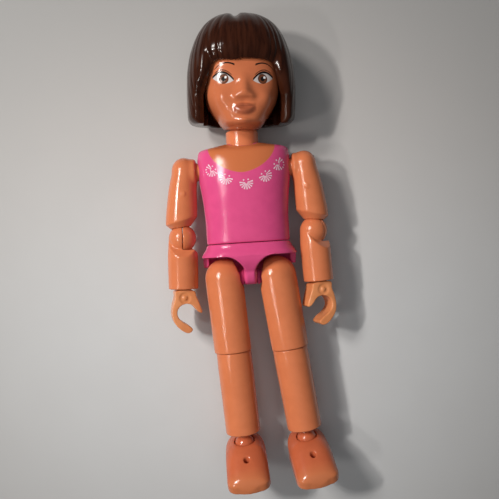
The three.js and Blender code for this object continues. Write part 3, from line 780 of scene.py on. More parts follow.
# %% Hem and web
hem_half = chest_half + 0.3
hem_depth = 6.3
hem_drop = 2.6
hem_power = 2.6
seat_drop = 4.7
seat_wall = 1.2
seat_front = -1.3
seat_taper = 0.92
tail_half = 3.0
tail_drop = 5.9
tail_front = -4.0
tail_taper = 0.9
tail_tilt = 25
web_half = 1.25
web_drop = 8.5
web_front = 4.6
web_back = 4.9
web_core_front = 3.0
web_ridge_half = 0.85
web_wall_back = 2.2
hip_boss = 2.1
hip_boss_half = 1.3
hip_boss_drop = 6.2
hip_boss_front = 2.0
thigh_radius = 4.05
hip_half = 5.25
hip_drop = hem_drop + gap + thigh_radius
leg_opening = thigh_radius + gap + 0.1
hip_pin = 1.1
waist_peg_depth = 1.7


def flare(y, share, inset=0.0):
    """An oval between the waist, share 0, and the hem, share 1."""
    half_width = waist_half + (hem_half - waist_half) * share - inset
    half_depth = waist_depth + (hem_depth - waist_depth) * share - inset
    return even(y, half_width, half_depth, hem_power)


def between_legs(top):
    """The front of the web: what the two round leg openings leave, never narrower than its ridge."""
    edge = []
    for y in np.linspace(top, -web_drop, 40):
        bite = math.sqrt(max(leg_opening ** 2 - (y + hip_drop) ** 2, 0))
        edge.append((max(hip_half - bite, web_ridge_half), y))
    return prism_z([(-x, y) for x, y in edge] + edge[::-1], web_wall_back, far)


def web_side(front, low_front, top):
    """The web seen from the side: it falls back from the hem and ends in a round foot."""
    rear = (-web_drop * 0.62, -web_back * 0.93)
    heel_pull = (-web_drop, -web_back * 0.8)
    heel = (-web_drop, -web_back * 0.1)
    toe = (-web_drop, low_front * 0.25)
    toe_pull = (-web_drop, low_front * 0.9)
    shin = (-web_drop * 0.68, low_front * 0.95)
    hem_pull = (-hem_drop - 1.2, front)
    return prism_x([
        (top, front),
        (top, -web_back),
        rear,
        *bend_to(rear, heel_pull, heel),
        toe,
        *bend_to(toe, toe_pull, shin),
        *bend_to(shin, hem_pull, (top, front))[:-1],
    ], far)


print("hem:", round(2 * hem_half, 2), "mm wide")

# %% Pelvis
def pelvis_shape():
    plate = lofted([
        flare(-hem_drop, 1),
        flare(-hem_drop * 0.7, 0.72),
        flare(-hem_drop * 0.35, 0.25),
        flare(-waist_seam, 0),
    ], steps=30, around=body_sides)
    top = -hem_drop + gap / 2
    outside = [flare(-seat_drop, seat_taper), flare(top, 1)]
    inside = [flare(-far, seat_taper, seat_wall), flare(-hem_drop, 1, seat_wall)]
    bowl = [lofted(rows, steps=12, around=body_sides) for rows in (outside, inside)]
    seat = common(cut(*bowl), slab(z=(-far, seat_front)))
    slope = slab(x=(-tail_half, tail_half), z=(-far, 0))
    moved(slope, shift(0, -seat_drop, tail_front), turn("X", tail_tilt))
    tail = common(lofted([flare(-tail_drop, tail_taper), flare(top, 1)], steps=12, around=body_sides), slope)
    ridge = common(between_legs(top), web_side(hem_depth - gap / 2, web_front, top))
    core = common(slab(x=(-web_half, web_half)), web_side(web_front, web_core_front, top))
    barrel = [(0, 1), (0.72, 1), (0.93, 0.8), (1, 0.5), (1, -0.5), (0.93, -0.8), (0.72, -1), (0, -1)]
    boss = along_x(turned([(r * hip_boss, y * hip_boss_half) for r, y in reversed(barrel)]))
    boss = moved(boss, shift(0, -hip_boss_drop, hip_boss_front))
    body = fuse(plate, seat, tail, ridge, core, boss)
    for side in (-1, 1):
        room = moved(ball(leg_opening), shift(hip_half * side, -hip_drop, 0))
        body = cut(body, cut(room, slab(x=(-web_half, web_half))))
    stud_bore = moved(along_x(rod(hip_pin + pin_gap, -far, far)), shift(0, -hip_drop, 0))
    return cut(body, rod(waist_stem + pin_gap, -waist_peg_depth - pin_gap, far), stud_bore)


pelvis = moulded(pelvis_shape(), size=0.13, relax=22)
finished(pelvis, "hips", at("waist_turn"), "pelvis", "suit", pink_plastic, "pelvis")

# %% Hip studs
hip_ball = 2.1
hip_neck = 1.25
hip_collar = 1.6
hip_collar_start = 1.3
hip_collar_thickness = 0.45
hip_collar_end = hip_collar_start + hip_collar_thickness
hip_collar_taper = 0.4


def hip_stud_shape(side):
    stud = along_x(turned([
        (0, pin_gap),
        (hip_pin, pin_gap),
        (hip_pin, hip_collar_start),
        (hip_collar, hip_collar_start),
        (hip_collar, hip_collar_end),
        (hip_neck, hip_collar_end + hip_collar_taper),
        *arc(hip_half, hip_ball, -meeting(hip_neck, hip_ball), 90),
    ]))
    return stud if side > 0 else moved(stud, turn("Y", 180))


for name, side in sides.items():
    stud = moulded(hip_stud_shape(side))
    paired(name, stud, "hip", at(name + "_hip_swing"), "hip", "suit", pink_plastic, "hip_stud")

# %% [markdown]
# ## Arms
# The upper arm has a round shoulder with a peg into the torso, a straight inner side and a conical seat
# over the elbow ball. The ball is in two halves: one turns in the upper arm on a stem, the other
# belongs to the forearm, and a pin through both is the hinge. Both forearms are the same part, so the
# two elbows are not mirror images.

# %% Upper arm
arm_length = 13.3
arm_swell = 0.2
shoulder_disc = 2.75
arm_lean = 2.3
dome_start = 0.06
dome_tip = 0.05
dome_width = 0.8
dome_widening = 0.1
dome_inset = 0.2
mark_radius = 0.42
mark_height = 0.05
mark_inset = 0.55
mark_drop = 4.5
knuckle = 2.8
knuckle_room = knuckle + 0.12
seat_slope = 47
seat_tilt = 8
stem_radius = 1.2
stem_length = 4.0


def shoulder_peg(side):
    low = shoulder_flange_out - shoulder_flange_thickness
    peg = moved(along_x(turned([
        (0, low),
        (shoulder_flange, low),
        (shoulder_flange, shoulder_flange_out),
        (shoulder_pin, shoulder_flange_out),
        (shoulder_pin, shoulder_reach),
        (0, shoulder_reach),
    ], limb_sides)), shift(-shoulder_reach, 0, 0))
    return peg if side > 0 else moved(peg, turn("Y", 180))


def upper_arm_shape(side):
    def row(y, outer):
        half = (outer + arm_radius) / 2
        return oval(y, half, -arm_radius, arm_radius, 2, side * (outer - arm_radius) / 2)

    straight = smooth_rows([
        row(-arm_length, arm_radius + arm_swell),
        row(-arm_length * 0.75, arm_radius + arm_swell),
        row(-arm_length * 0.5, arm_radius * 0.97),
        row(-arm_length * 0.25, arm_radius * 0.83),
        row(0, arm_radius * 0.6),
    ], 30)
    dome = []
    for share in np.linspace(dome_start, 1, 16):
        level = arm_radius * math.sin(rad(90 * share))
        spread = arm_radius * math.cos(rad(90 * share)) + dome_tip
        half = spread * (dome_width + dome_widening * share)
        dome.append(oval(level, half, -spread, spread, 2, -side * arm_radius * dome_inset))
    body = skin(skin_grid(np.vstack([straight, dome]), limb_sides))
    rise = far * math.tan(rad(seat_slope))
    seat = turned([(0, -far), (far, -far), (far, rise), (0, 0)], limb_sides)
    moved(seat, turn("Z", -side * seat_tilt))
    stem_bore = rod(stem_radius + pin_gap, 0, knuckle_room + stem_length + gap)
    elbow = moved(fuse(seat, ball(knuckle_room), stem_bore), shift(0, -arm_length, 0))
    disc_start = shoulder_reach - arm_inside
    disc = rod(shoulder_disc, -disc_start, 0) if side > 0 else rod(shoulder_disc, 0, disc_start)
    lean = turn("Z", side * arm_lean)
    body = moulded(fuse(moved(body, lean), along_x(disc)), size=0.16, relax=40)
    mark = along_z(rod(mark_radius, 0, arm_radius + mark_height))
    moved(mark, shift(-side * mark_inset, -mark_drop, 0))
    return fuse(fuse(cut(body, moved(elbow, lean)), mark), shoulder_peg(side))


print("upper arm ready")

# %% Elbow and forearm
elbow_bevel = 51
elbow_pin = 0.75
elbow_pin_length = 3.6
split = 0.05
forearm_length = 10.3
forearm_radius = 3.05
hand_stem = 1.4
hand_stem_length = 4.5


def half_ball(toward):
    """Half of the elbow ball, on one side of the hinge's split."""
    return common(ball(knuckle), slab(x=(split, far) if toward > 0 else (-far, -split)))


def elbow_bore():
    half = elbow_pin_length / 2 + gap
    return along_x(rod(elbow_pin + pin_gap, -half, half))


def knuckle_shape():
    stem = rod(stem_radius, knuckle_room, knuckle_room + stem_length)
    root = common(rod(stem_radius, 0, knuckle_room + pin_gap), slab(x=(split, far)))
    return cut(fuse(half_ball(1), root, stem), elbow_bore())


def forearm_shape():
    slope = far * math.tan(rad(elbow_bevel))
    bevel = prism_x([(0, 0), (-slope, far), (far, far), (far, 0)], far)
    body = lofted([
        tube(-forearm_length, forearm_radius * 0.99),
        tube(-forearm_length * 0.8, forearm_radius),
        tube(-forearm_length * 0.4, forearm_radius * 1.01),
        tube(0, knuckle),
    ])
    room = along_x(rod(knuckle_room, -split, far))
    body = fuse(cut(body, bevel, room), half_ball(-1))
    return cut(body, elbow_bore(), rod(hand_stem + pin_gap, -far, -forearm_length + hand_stem_length + gap))


print("forearm ready")

# %% Clip hands
hand_depth = 4.2
hand_round = 4.4
hand_power = 3
boss_radius = 1.15
boss_depth = 0.16
boss_level = -1.75
button_radius = boss_radius * 0.36
button_height = boss_depth * 1.6
hand_outline = [
    (-1.7, -0.3), (-1.95, -1.7), (-2.38, -3.25), (-2.58, -4.65), (-2.5, -5.7), (-2.2, -6.55),
    (-1.68, -7.4), (-0.85, -8.2), (0.05, -8.75), (0.6, -8.88), (1.15, -8.68), (1.5, -8.15),
    (1.05, -7.65), (0.4, -7.15), (-0.42, -6.65), (-1.08, -6.05), (-1.5, -5.35), (-1.56, -4.5),
    (-1.25, -3.72), (-0.56, -3.14), (0.4, -2.93), (1.28, -3.19), (1.98, -3.81), (2.48, -4.45),
    (2.95, -4.82), (3.3, -4.95), (3.52, -4.72), (3.42, -4.2), (2.9, -2.84), (2.33, -1.53), (1.72, -0.3),
]


def rounded_outline(points, steps=6):
    """A closed curve that passes through the points, as the points of a Catmull-Rom spline."""
    knots = np.array(points)
    before = np.roll(knots, 1, 0)
    after = np.roll(knots, -1, 0)
    later = np.roll(knots, -2, 0)
    curve = []
    for a, b, c, d in zip(before, knots, after, later):
        for t in np.linspace(0, 1, steps, endpoint=False):
            bend = (2 * a - 5 * b + 4 * c - d) * t * t + (3 * b - a - 3 * c + d) * t ** 3
            curve.append(tuple(b + 0.5 * ((c - a) * t + bend)))
    return curve


def hand_shape(side):
    clip = prism_z(rounded_outline(hand_outline), -far, far)
    clip = common(clip, lofted([even(y, hand_round, hand_depth / 2, hand_power) for y in (-far, far)], 4))
    half = hand_depth / 2 - boss_depth
    dish = cut(along_z(rod(boss_radius, -far, far)), along_z(rod(boss_radius + gap, -half, half)))
    button = along_z(rod(button_radius, -half - button_height, half + button_height))
    clip = fuse(cut(clip, moved(dish, shift(0, boss_level, 0))), moved(button, shift(0, boss_level, 0)))
    clip = fuse(clip, rod(hand_stem, -2 * gap, hand_stem_length))
    return moved(clip, turn("Y", 180)) if side > 0 else clip


print("hand outline:", len(hand_outline), "points")

# %% Both arms
elbow_turns = {"left": 46, "right": 8}
hand_turns = {"left": -31, "right": 6}

for name, side in sides.items():
    arm = moulded(upper_arm_shape(side))
    paired(name, arm, "arm", at(name + "_shoulder_swing"), "upper_arm", "skin", skin_plastic)
    lean = turn("Z", side * arm_lean)
    elbow_place = at(name + "_elbow_bend", lean, turn("Y", elbow_turns[name]))
    knuckle_half = moulded(knuckle_shape())
    paired(name, knuckle_half, "elbow", elbow_place, "elbow", "skin", skin_plastic, "elbow_knuckle")
    paired(name, moulded(forearm_shape()), "lower_arm", elbow_place, "forearm", "skin", skin_plastic)
    hand_place = at(name + "_wrist_turn", lean, turn("Y", elbow_turns[name] + hand_turns[name]))
    hand = moulded(hand_shape(side), size=0.11, relax=14)
    paired(name, hand, "clip_hand", hand_place, "hand", "hand_skin", hand_plastic)

# %% [markdown]
# ## Legs
# Thigh and shin are tubes. The shin's round tongue goes up into a slot at the back of the thigh, and
# the thigh's front wall hides it, so from the front the knee is only a fine line and a small step.

# %% Thigh
thigh_length = 14.9
knee_rim = 3.9
knee_rise = 1.7
knee_level = -(thigh_length - knee_rise)
knee_disc = 2.3
knee_tongue = 3.0
knee_pin = 0.7
knee_pin_length = 6.0
knee_stop = 1.2
splay_slope = 0.5
hip_wall = 1.15
slant_face = 3.1
slant_angle = 20


def thigh_shape(side):
    straight = smooth_rows([
        tube(-thigh_length, knee_rim),
        tube(-thigh_length * 0.8, knee_rim * 1.01),
        tube(-thigh_length * 0.5, (thigh_radius + knee_rim) / 2),
        tube(-thigh_length * 0.2, thigh_radius),
    ], 30)
    dome = [tube(y, radius) for radius, y in arc(0, thigh_radius, 0, 86, 24)]
    body = skin(skin_grid(np.vstack([straight, dome]), limb_sides))
    inner_face = hip_half - hip_wall - gap - pin_gap
    mouth_wide = hip_collar + gap + splay_slope * inner_face * 0.5
    mouth = along_x(rod(mouth_wide, -inner_face - pin_gap, -hip_ball * 0.7, hip_neck + gap + pin_gap))
    slant = moved(slab(x=(-far, -slant_face)), turn("Z", -slant_angle))
    shave = fuse(slab(x=(-far, -inner_face)), slant)
    if side < 0:
        moved(mouth, turn("Y", 180))
        moved(shave, turn("Y", 180))
    knee = shift(0, knee_level, 0)
    slot_half = knee_tongue / 2 + gap
    slot = along_x(rod(knee_disc + gap, -slot_half, slot_half))
    rear = slab(x=(-slot_half, slot_half), y=(-far, knee_disc), z=(-far, 0))
    reach = knee_stop * math.sqrt(2)
    bevel = prism_x([(-reach, 0), (far - reach, -far), (-far, -far), (-far, 0)], far)
    pin_half = knee_pin_length / 2 + pin_gap
    pin = along_x(rod(knee_pin + pin_gap, -pin_half, pin_half))
    knee_cuts = [moved(thing, knee) for thing in (bevel, slot, rear, pin)]
    return cut(body, shave, ball(hip_ball + pin_gap), mouth, *knee_cuts)


print("thigh ready")

# %% Shin and ankle
knee_root = 1.0
tongue_neck = 0.62
shin_radius = 3.55
shin_length = 16.3
shin_top = -(knee_rise + 0.1)
shin_bottom = -(knee_rise + gap + shin_length)
ankle_drop = 2.5
ankle_ball = 2.0
ankle_neck = 1.25
ankle_pin = 1.5
ankle_pin_length = 5.0


def shin_shape():
    body = lofted([
        tube(shin_bottom, shin_radius * 0.985),
        tube(shin_bottom * 0.6, shin_radius * 0.995),
        tube(shin_bottom * 0.3, shin_radius * 1.01),
        tube(shin_top, shin_radius),
    ])
    reach = (knee_stop + gap) * math.sqrt(2)
    bevel = prism_x([(-reach, 0), (-reach - far, -far), (far, -far), (far, 0)], far)
    half = knee_tongue / 2
    neck_half = knee_disc * tongue_neck
    neck = slab(x=(-half, half), y=(shin_top - knee_root, shin_top / 2), z=(-neck_half, neck_half))
    tongue = fuse(along_x(rod(knee_disc, -half, half)), neck)
    pin = along_x(rod(knee_pin + pin_gap, -far, far))
    bore = rod(ankle_pin + pin_gap, -far, shin_bottom + ankle_pin_length + gap)
    return cut(fuse(cut(body, bevel), tongue), pin, bore)


def ankle_shape():
    shin_end = ankle_drop + gap
    return turned([
        *arc(0, ankle_ball, -90, meeting(ankle_neck, ankle_ball), 24),
        (ankle_neck, shin_end),
        (ankle_pin, shin_end),
        (ankle_pin, shin_end + ankle_pin_length - gap),
        (0, shin_end + ankle_pin_length - gap),
    ], limb_sides)


print("shin ready")

# %% Feet
foot_half = 4.25
heel_half = foot_half * 0.97
heel_reach = 4.1
heel_square = 0.92
toe_reach = 8.7
toe_rounding = 2.3
toe_pull = 0.97
toe_corner = 0.985
toe_crown = 1.05
foot_power = 2.6
foot_spare = 0.15
sole_drop = 4.8
below_sole = 4
ankle_top = 1.2
ankle_mouth = 1.7
ankle_mouth_top = (2.5, -2.0, 1.85)
instep_hole = 0.55
instep_reach = 4.6
sole_socket = 2.45
sole_socket_depth = 1.7
sole_socket_reach = 3.4
foot_crest = [
    (-5, -1.2), (-4, -0.4), (-2.5, 0.3), (-1, 0.8), (1.5, 1.15), (3, 0.78),
    (5, -0.2), (7, -1.3), (7.9, -1.85), (8.5, -2.7), (8.9, -4.0), (9.1, -5.2),
]


def foot_plan():
    """The foot seen from above: a round heel and a blunt toe."""
    corner = foot_half - toe_rounding
    toe_side = toe_reach - toe_rounding
    heel = (0, -heel_reach)
    left_corner = (-corner, toe_reach * toe_corner)
    right_corner = (corner, toe_reach * toe_corner)
    return [
        (-heel_half, 0),
        *bend_to((-heel_half, 0), (-heel_half * heel_square, -heel_reach), heel),
        *bend_to(heel, (heel_half * heel_square, -heel_reach), (heel_half, 0)),
        (foot_half, toe_side),
        *bend_to((foot_half, toe_side), (foot_half, toe_reach * toe_pull), right_corner),
        *bend_to(right_corner, (0, toe_reach * toe_crown), left_corner),
        *bend_to(left_corner, (-foot_half, toe_reach * toe_pull), (-foot_half, toe_side)),
    ]


def foot_shape():
    below = sole_drop + below_sole
    dome = lofted([oval(z, foot_half + foot_spare, -top, below, foot_power) for z, top in foot_crest], 70)
    foot = common(moved(dome, turn("X", 90)), prism_y(foot_plan(), -sole_drop, far))
    hole = moved(rod(instep_hole, -sole_drop + sole_socket_depth / 2, far), shift(0, 0, instep_reach))
    socket = moved(rod(sole_socket, -far, -sole_drop + sole_socket_depth), shift(0, 0, sole_socket_reach))
    mouth = lofted([tube(0, ankle_mouth), oval(ankle_top + gap, *ankle_mouth_top)], 8)
    return cut(foot, ball(ankle_ball + pin_gap), mouth, hole, socket)


print("foot shape ready")

# %% Foot plastic
painted_toe_light_reach = (5.4, 8.6)
painted_toe_light_share = 0.8


def foot_material(name, place):
    """The redder foot plastic with painted light on the toe, which is mixed towards a lighter colour."""
    material, tree, shader, colour = plastic(name + "_foot_plastic", foot_light, foot_dark, dullness=0.19)
    x, y, z = coordinates(tree, place)
    # Painted light: the toe end is mixed towards a lighter colour
    feed(tree, shader.inputs["Base Color"], mixed(tree, z.ramp(*painted_toe_light_reach) * painted_toe_light_share, colour, toe_painted_light))
    return material


print("toe tone from", *painted_toe_light_reach, "mm")

# %% Both legs
leg_leans = {"left": 7, "right": 3.2}
foot_turns = {"left": 6, "right": 2}
foot_point = 22

for name, side in sides.items():
    lean = turn("Z", leg_leans[name])
    thigh = moulded(thigh_shape(side))
    paired(name, thigh, "upper_leg", at(name + "_hip_splay", lean), "thigh", "skin", skin_plastic)
    shin = moulded(shin_shape())
    paired(name, shin, "lower_leg", at(name + "_knee_bend", lean), "shin", "skin", skin_plastic)
    ankle_place = at(name + "_ankle_turn", lean, turn("Y", foot_turns[name]))
    ankle = moulded(ankle_shape())
    paired(name, ankle, "ankle_ball", ankle_place, "ankle", "foot_skin", ankle_plastic, "ankle_peg")
    foot_place = ankle_place @ turn("X", foot_point)
    foot = moulded(foot_shape(), size=0.13, relax=18)
    paired(name, foot, "shoe_foot", foot_place, "foot", "foot_skin", foot_material(name, foot_place))

# %% [markdown]
# ## Head
# The head is one moulding: an egg that narrows to the jaw, with a small nose, soft lips and shallow
# hollows for the printed eyes. A skin over ovals gives the egg. The features have no edges, so they are
# not cut: smooth hills and hollows push the front of the skin in and out, each with a place, a width
# and a height.

# %% Head rows
head_half = 7.55
head_height = 21.2
face_depth = 9.1
skull_depth = 5.4
chin_tip = 0.6
head_top = head_height - chin_drop - chin_tip
chin_gap = 0.5
head_power = 2.65
widest_share = 0.4
nod_clearance = 0.75
head_lean = -2.1
head_turn = 5
head_place = at("head_nod", turn("Z", head_lean), turn("Y", head_turn))


def head_rows(grow=0.0):
    """The ovals of the head, from chin to crown, or of a slightly larger head."""
    def level(share, width, back, front):
        y = share * head_top + math.copysign(grow, share - widest_share)
        half_width = head_half * width + grow
        return oval(y, half_width, -skull_depth * back - grow, face_depth * front + grow, head_power)

    def chin(tip, half_width, back, front):
        return oval(-chin_drop - tip - grow, half_width + grow, back - grow, face_depth * front + grow)

    return [
        chin(0, 1.5, 3.0, 0.77),
        chin(-0.2, 2.8, 1.2, 0.885),
        level(-0.1, 0.51, 0.4, 0.955),
        level(0, 0.69, 0.65, 0.985),
        level(0.09, 0.84, 0.82, 0.985),
        level(0.18, 0.94, 0.93, 0.975),
        level(0.28, 0.99, 0.98, 0.97),
        level(0.4, 1, 1, 0.985),
        level(0.58, 0.98, 1, 0.97),
        level(0.75, 0.88, 0.9, 0.86),
        level(0.88, 0.68, 0.68, 0.66),
        level(0.96, 0.42, 0.4, 0.42),
        level(1, 0.16, 0.1, 0.16),
    ]


print("head rows:", len(head_rows()))

# %% Face relief
nose_levels = np.array([1.6, 2.1, 2.6, 3.2, 4.2, 5.4, 7.2])
nose_heights = np.array([0, 0.35, 1.0, 1.3, 0.95, 0.5, 0])
nose_widths = np.array([1.5, 1.6, 1.7, 1.55, 1.25, 1.0, 1.1])
mouth_level = 0.55
mouth_half = 2.3
mouth_curve = 0.075
upper_lip_height = 0.42
upper_lip_rise = 0.42
upper_lip_half = 0.42
lower_lip_height = 0.62
lower_lip_drop = 0.72
lower_lip_half = 0.62
lip_groove_depth = 0.17
lip_groove_half = 0.16
bow_depth = 0.35
bow_half = 0.4
corner_fullness = 0.35

# Each soft hill: place beside the middle, level, half width, half height, and how far it stands out
face_hills = {
    "nostrils": (1.5, 2.5, 0.7, 0.65, 0.28),
    "eye hollows": (3.5, 6.1, 2.0, 1.5, -0.26),
    "brow": (3.2, 9.0, 2.6, 0.9, 0.06),
    "cheeks": (4.5, 2.4, 1.7, 1.6, 0.6),
    "hollow under the lips": (0, -1.2, 1.5, 0.35, -0.22),
    "hollow under the nose": (0, 1.75, 0.35, 0.4, -0.12),
    "chin": (0, -1.85, 1.3, 0.8, 0.55),
}


def bell(distance, half):
    return np.exp(-(distance / half) ** 2)


def face_relief(x, y):
    """How far the front of the head stands out from its egg, in millimetres."""
    near = np.clip(y, nose_levels[0], nose_levels[-1])
    ridge = smooth_through(nose_levels, nose_heights, near)
    relief = ridge * bell(x, smooth_through(nose_levels, nose_widths, near))
    for beside, level, half_width, half_height, height in face_hills.values():
        relief += height * bell(np.abs(x) - beside, half_width) * bell(y - level, half_height)
    line = y - mouth_level - mouth_curve * x ** 2
    taper = np.clip(1 - (x / mouth_half) ** 2, 0, 1) ** 1.5
    bow = 1 - bow_depth * bell(x, bow_half)
    full = corner_fullness + (1 - corner_fullness) * taper
    upper = upper_lip_height * taper * bow * bell(line - upper_lip_rise * full, upper_lip_half)
    lower = lower_lip_height * taper * bell(line + lower_lip_drop * full, lower_lip_half)
    groove = lip_groove_depth * taper ** 0.7 * bell(line, lip_groove_half)
    return relief + upper + lower - groove


print("soft hills on the face:", len(face_hills))

# %% Head shape
face_rows = 230
face_columns = 270
relief_start = 1
relief_blend = 3


def head_shape():
    grid = skin_grid(smooth_rows(head_rows(), face_rows), face_columns)
    middle = (grid[:, :, 2].max(1) + grid[:, :, 2].min(1)) / 2
    ahead = np.clip((grid[:, :, 2] - middle[:, None] - relief_start) / relief_blend, 0, 1)
    grid[:, :, 2] += ahead * face_relief(grid[:, :, 0], grid[:, :, 1])
    mouth = neck_radius + chin_gap
    funnel = rod(mouth + nod_clearance, -chin_drop - 2 * chin_tip, -chin_drop + 2 * gap, mouth)
    room = rod(mouth, -chin_drop + gap, 0, neck_stem + pin_gap)
    return cut(skin(grid), ball(neck_ball + pin_gap), funnel, room)


head = head_shape()
print("head drawn")

# %% [markdown]
# ## Printed face
# Eyes, lids and brows are pad-printed, so they belong in the material: each is a curve in the head's
# own plane, and a soft step across the curve makes the edge of the ink. The two eyes mirror each other,
# and so one function draws both, measured outwards from the nose; only the glint sits on the same side
# of both eyes.

# %% Eyes and brows
eye_apart = 3.7
eye_level = 6.05
eye_half = 2.0
eye_shift = 0.1
eye_tilt = 0.2
lid_rise = 1.12
lid_drop = 0.86
ink_edge = 0.06
lid_line_lift = 0.08
lid_line_edge = (0.25, 0.16)
lid_line_ends = (-0.06, 0.1)
crease_lift = 0.5
crease_edge = (0.11, 0.05)
crease_ends = (0.25, 0.5)
iris_rim_edge = (0.9, 0.78)
iris_edge = (0.68, 0.54)
pupil_edge = (0.2, 0.14)
glint_beside = 0.36
glint_above = 0.3
glint_edge = (0.07, 0.035)
brow_lift = 2.93
brow_peak = -0.13
brow_skew = 0.35
brow_bend = 0.184
brow_bend_gain = 0.0122
brow_thinning = 0.03
brow_edge = (0.17, 0.09)
brow_inner_end = (-1.7, -1.5)
brow_outer_end = (2.35, 2.0)
ink_black = (0.012, 0.008, 0.007)
eye_white = (0.64, 0.57, 0.55)
glint_white = (0.9, 0.9, 0.9)
iris_brown = (0.16, 0.05, 0.022)
iris_rim = (0.06, 0.018, 0.009)


def eye_layers(x, y, side):
    """Masks and colours of one eye and its brow, in the order in which they are printed."""
    out = x * side - eye_apart
    up = y - eye_level
    spot = (out - eye_shift) / eye_half
    arch = spot * spot * -1 + 1
    level = up - out * eye_tilt
    over = level - arch * lid_rise
    under = level + arch * lid_drop
    below_lid = over.ramp(ink_edge, -ink_edge)
    opening = below_lid * under.ramp(-ink_edge, ink_edge)
    round_eye = out * out + up * up
    glint_x = out * side - glint_beside
    glint_y = up - glint_above
    glint = (glint_x * glint_x + glint_y * glint_y).ramp(*glint_edge)
    lid_line = (over - lid_line_lift).size().ramp(*lid_line_edge) * arch.ramp(*lid_line_ends)
    crease = (over - crease_lift).size().ramp(*crease_edge) * arch.ramp(*crease_ends)
    from_peak = out - (brow_skew * side + brow_peak)
    brow_line = up - brow_lift + from_peak * from_peak * (from_peak * brow_bend_gain + brow_bend)
    brow = (brow_line.size() + from_peak * brow_thinning).ramp(*brow_edge)
    brow = brow * from_peak.ramp(*brow_inner_end) * from_peak.ramp(*brow_outer_end)
    return [
        (opening, eye_white),
        (round_eye.ramp(*iris_rim_edge) * below_lid, iris_rim),
        (round_eye.ramp(*iris_edge) * below_lid, iris_brown),
        (round_eye.ramp(*pupil_edge) * below_lid, ink_black),
        (glint, glint_white),
        (lid_line, ink_black),
        (crease, ink_black),
        (brow, ink_black),
    ]


print("iris radius:", round(math.sqrt(iris_rim_edge[0]), 2), "mm")

# %% Face material
face_light = (0.6, 0.173, 0.072)
face_dark = (0.57, 0.161, 0.067)
lip_tint = (0.36, 0.092, 0.044)
lip_tint_half = mouth_half + 0.1
lip_tint_level = mouth_level - 0.3
lip_tint_rise = 1.15
lip_tint_edge = (1.15, 0.6)
lip_tint_share = 0.8
print_start = (2, 3)


def face_material():
    material, tree, shader, colour = plastic("face_plastic", face_light, face_dark, dullness=0.14)
    x, y, z = coordinates(tree, head_place)
    front = z.ramp(*print_start)
    across = x / lip_tint_half
    tall = (y - lip_tint_level) / lip_tint_rise
    lips = (across * across + tall * tall).ramp(*lip_tint_edge)
    colour = mixed(tree, lips * front * lip_tint_share, colour, lip_tint)
    for side in (-1, 1):
        for mask, ink in eye_layers(x, y, side):
            colour = mixed(tree, mask * front, colour, ink)
    feed(tree, shader.inputs["Base Color"], colour)
    print("face nodes:", len(tree.nodes))
    return material


finished(head, "face", head_place, "head", "skin", face_material(), "head")

# %% [markdown]
# ## Hair
# The bob is a hard moulded cap. Its skin is made over ovals again. A parting notches the crown, the
# fringe swells before its edge, the edges of fringe and locks curve back towards the face, and the hem
# is tucked in. Head, face window and hem are then cut out of it. The strands come last, as shallow
# flutes from the crown to the hem: each point of the outside moves out or in by a comb of rounded
# ridges round the head.

# %% Hair shape
hair_half = 10.85
hair_top = 20.8
hair_front = 10.8
hair_back = 6.85
hair_hem = 0.9
hair_slope = 7
fringe = 9.4
lock = 3.3
window_half = 6.1
window_corner = 1.5
hair_bottom = -hair_hem - hair_front * math.tan(rad(hair_slope))
hollow_half = hair_half - lock


def hair_rows():
    def level(share, width, back, front, power=2.3):
        y = share * (hair_top - hair_bottom) + hair_bottom
        return oval(y, hair_half * width, -hair_back * back, hair_front * front, power)

    return [
        level(0, 0.95, 0.78, 0.6, 3.6),
        level(0.12, 0.99, 0.9, 0.68, 3.5),
        level(0.28, 1, 0.99, 0.82, 3.2),
        level(0.44, 0.99, 1, 0.96, 2.7),
        level(0.58, 0.95, 0.98, 1),
        level(0.72, 0.86, 0.9, 0.95),
        level(0.83, 0.745, 0.75, 0.83),
        level(0.92, 0.585, 0.5, 0.64),
        level(0.98, 0.37, 0.18, 0.41),
        level(1, 0.14, 0, 0.2),
    ]


print("hair drawn from", len(hair_rows()), "ovals")

# %% Hair cap
parting_x = -1.0
parting_depth = 0.75
parting_half = 0.75
parting_start = 0.82
parting_blend = 0.12
swell_height = 0.15
swell_lift = 1.3
swell_half = 1.3
front_blend = 6
lock_edge_drop = 1.9
fringe_edge_drop = 1.2
lock_edge_width = 2.0
fringe_edge_width = 3.6
edge_blend = 3
hem_round = 1.4
shoulder_level = fringe * 0.4


def edge_drop(x, y):
    """How far the hair curves back towards the face at the edge of the window."""
    half = np.interp(y, [shoulder_level, fringe - window_corner], [hollow_half, window_half])
    outside = np.maximum((np.abs(x) - half) / lock_edge_width, (y - fringe) / fringe_edge_width)
    near = np.clip(1 - outside, 0, 1) ** 2
    low = np.clip((fringe - y) / edge_blend, 0, 1)
    return near * (fringe_edge_drop + (lock_edge_drop - fringe_edge_drop) * low)


def hair_cap():
    grid = skin_grid(smooth_rows(hair_rows(), 150), 240)
    share = (grid[:, :1, 1] - hair_bottom) / (hair_top - hair_bottom)
    forward = np.clip(grid[:, :, 2] / front_blend, 0, 1)
    swell = swell_height * forward * bell(grid[:, :, 1] - fringe - swell_lift, swell_half)
    grid[:, :, 2] += swell - edge_drop(grid[:, :, 0], grid[:, :, 1]) * forward
    above_hem = grid[:, :, 1] + hair_hem + grid[:, :, 2] * math.tan(rad(hair_slope))
    low = np.clip(1 - above_hem / hem_round, 0, 1)
    tuck = hem_round * (1 - np.sqrt(1 - low ** 2))
    reach = np.hypot(grid[:, :, 0], grid[:, :, 2]) + 1e-6
    grid[:, :, 0] *= 1 - tuck / reach
    grid[:, :, 2] *= 1 - tuck / reach
    crown = np.clip((share - parting_start) / parting_blend, 0, 1)
    grid[:, :, 1] -= parting_depth * crown * bell(grid[:, :, 0] - parting_x, parting_half)
    return skin(grid)


print("hair edges curve back by up to", lock_edge_drop, "mm")

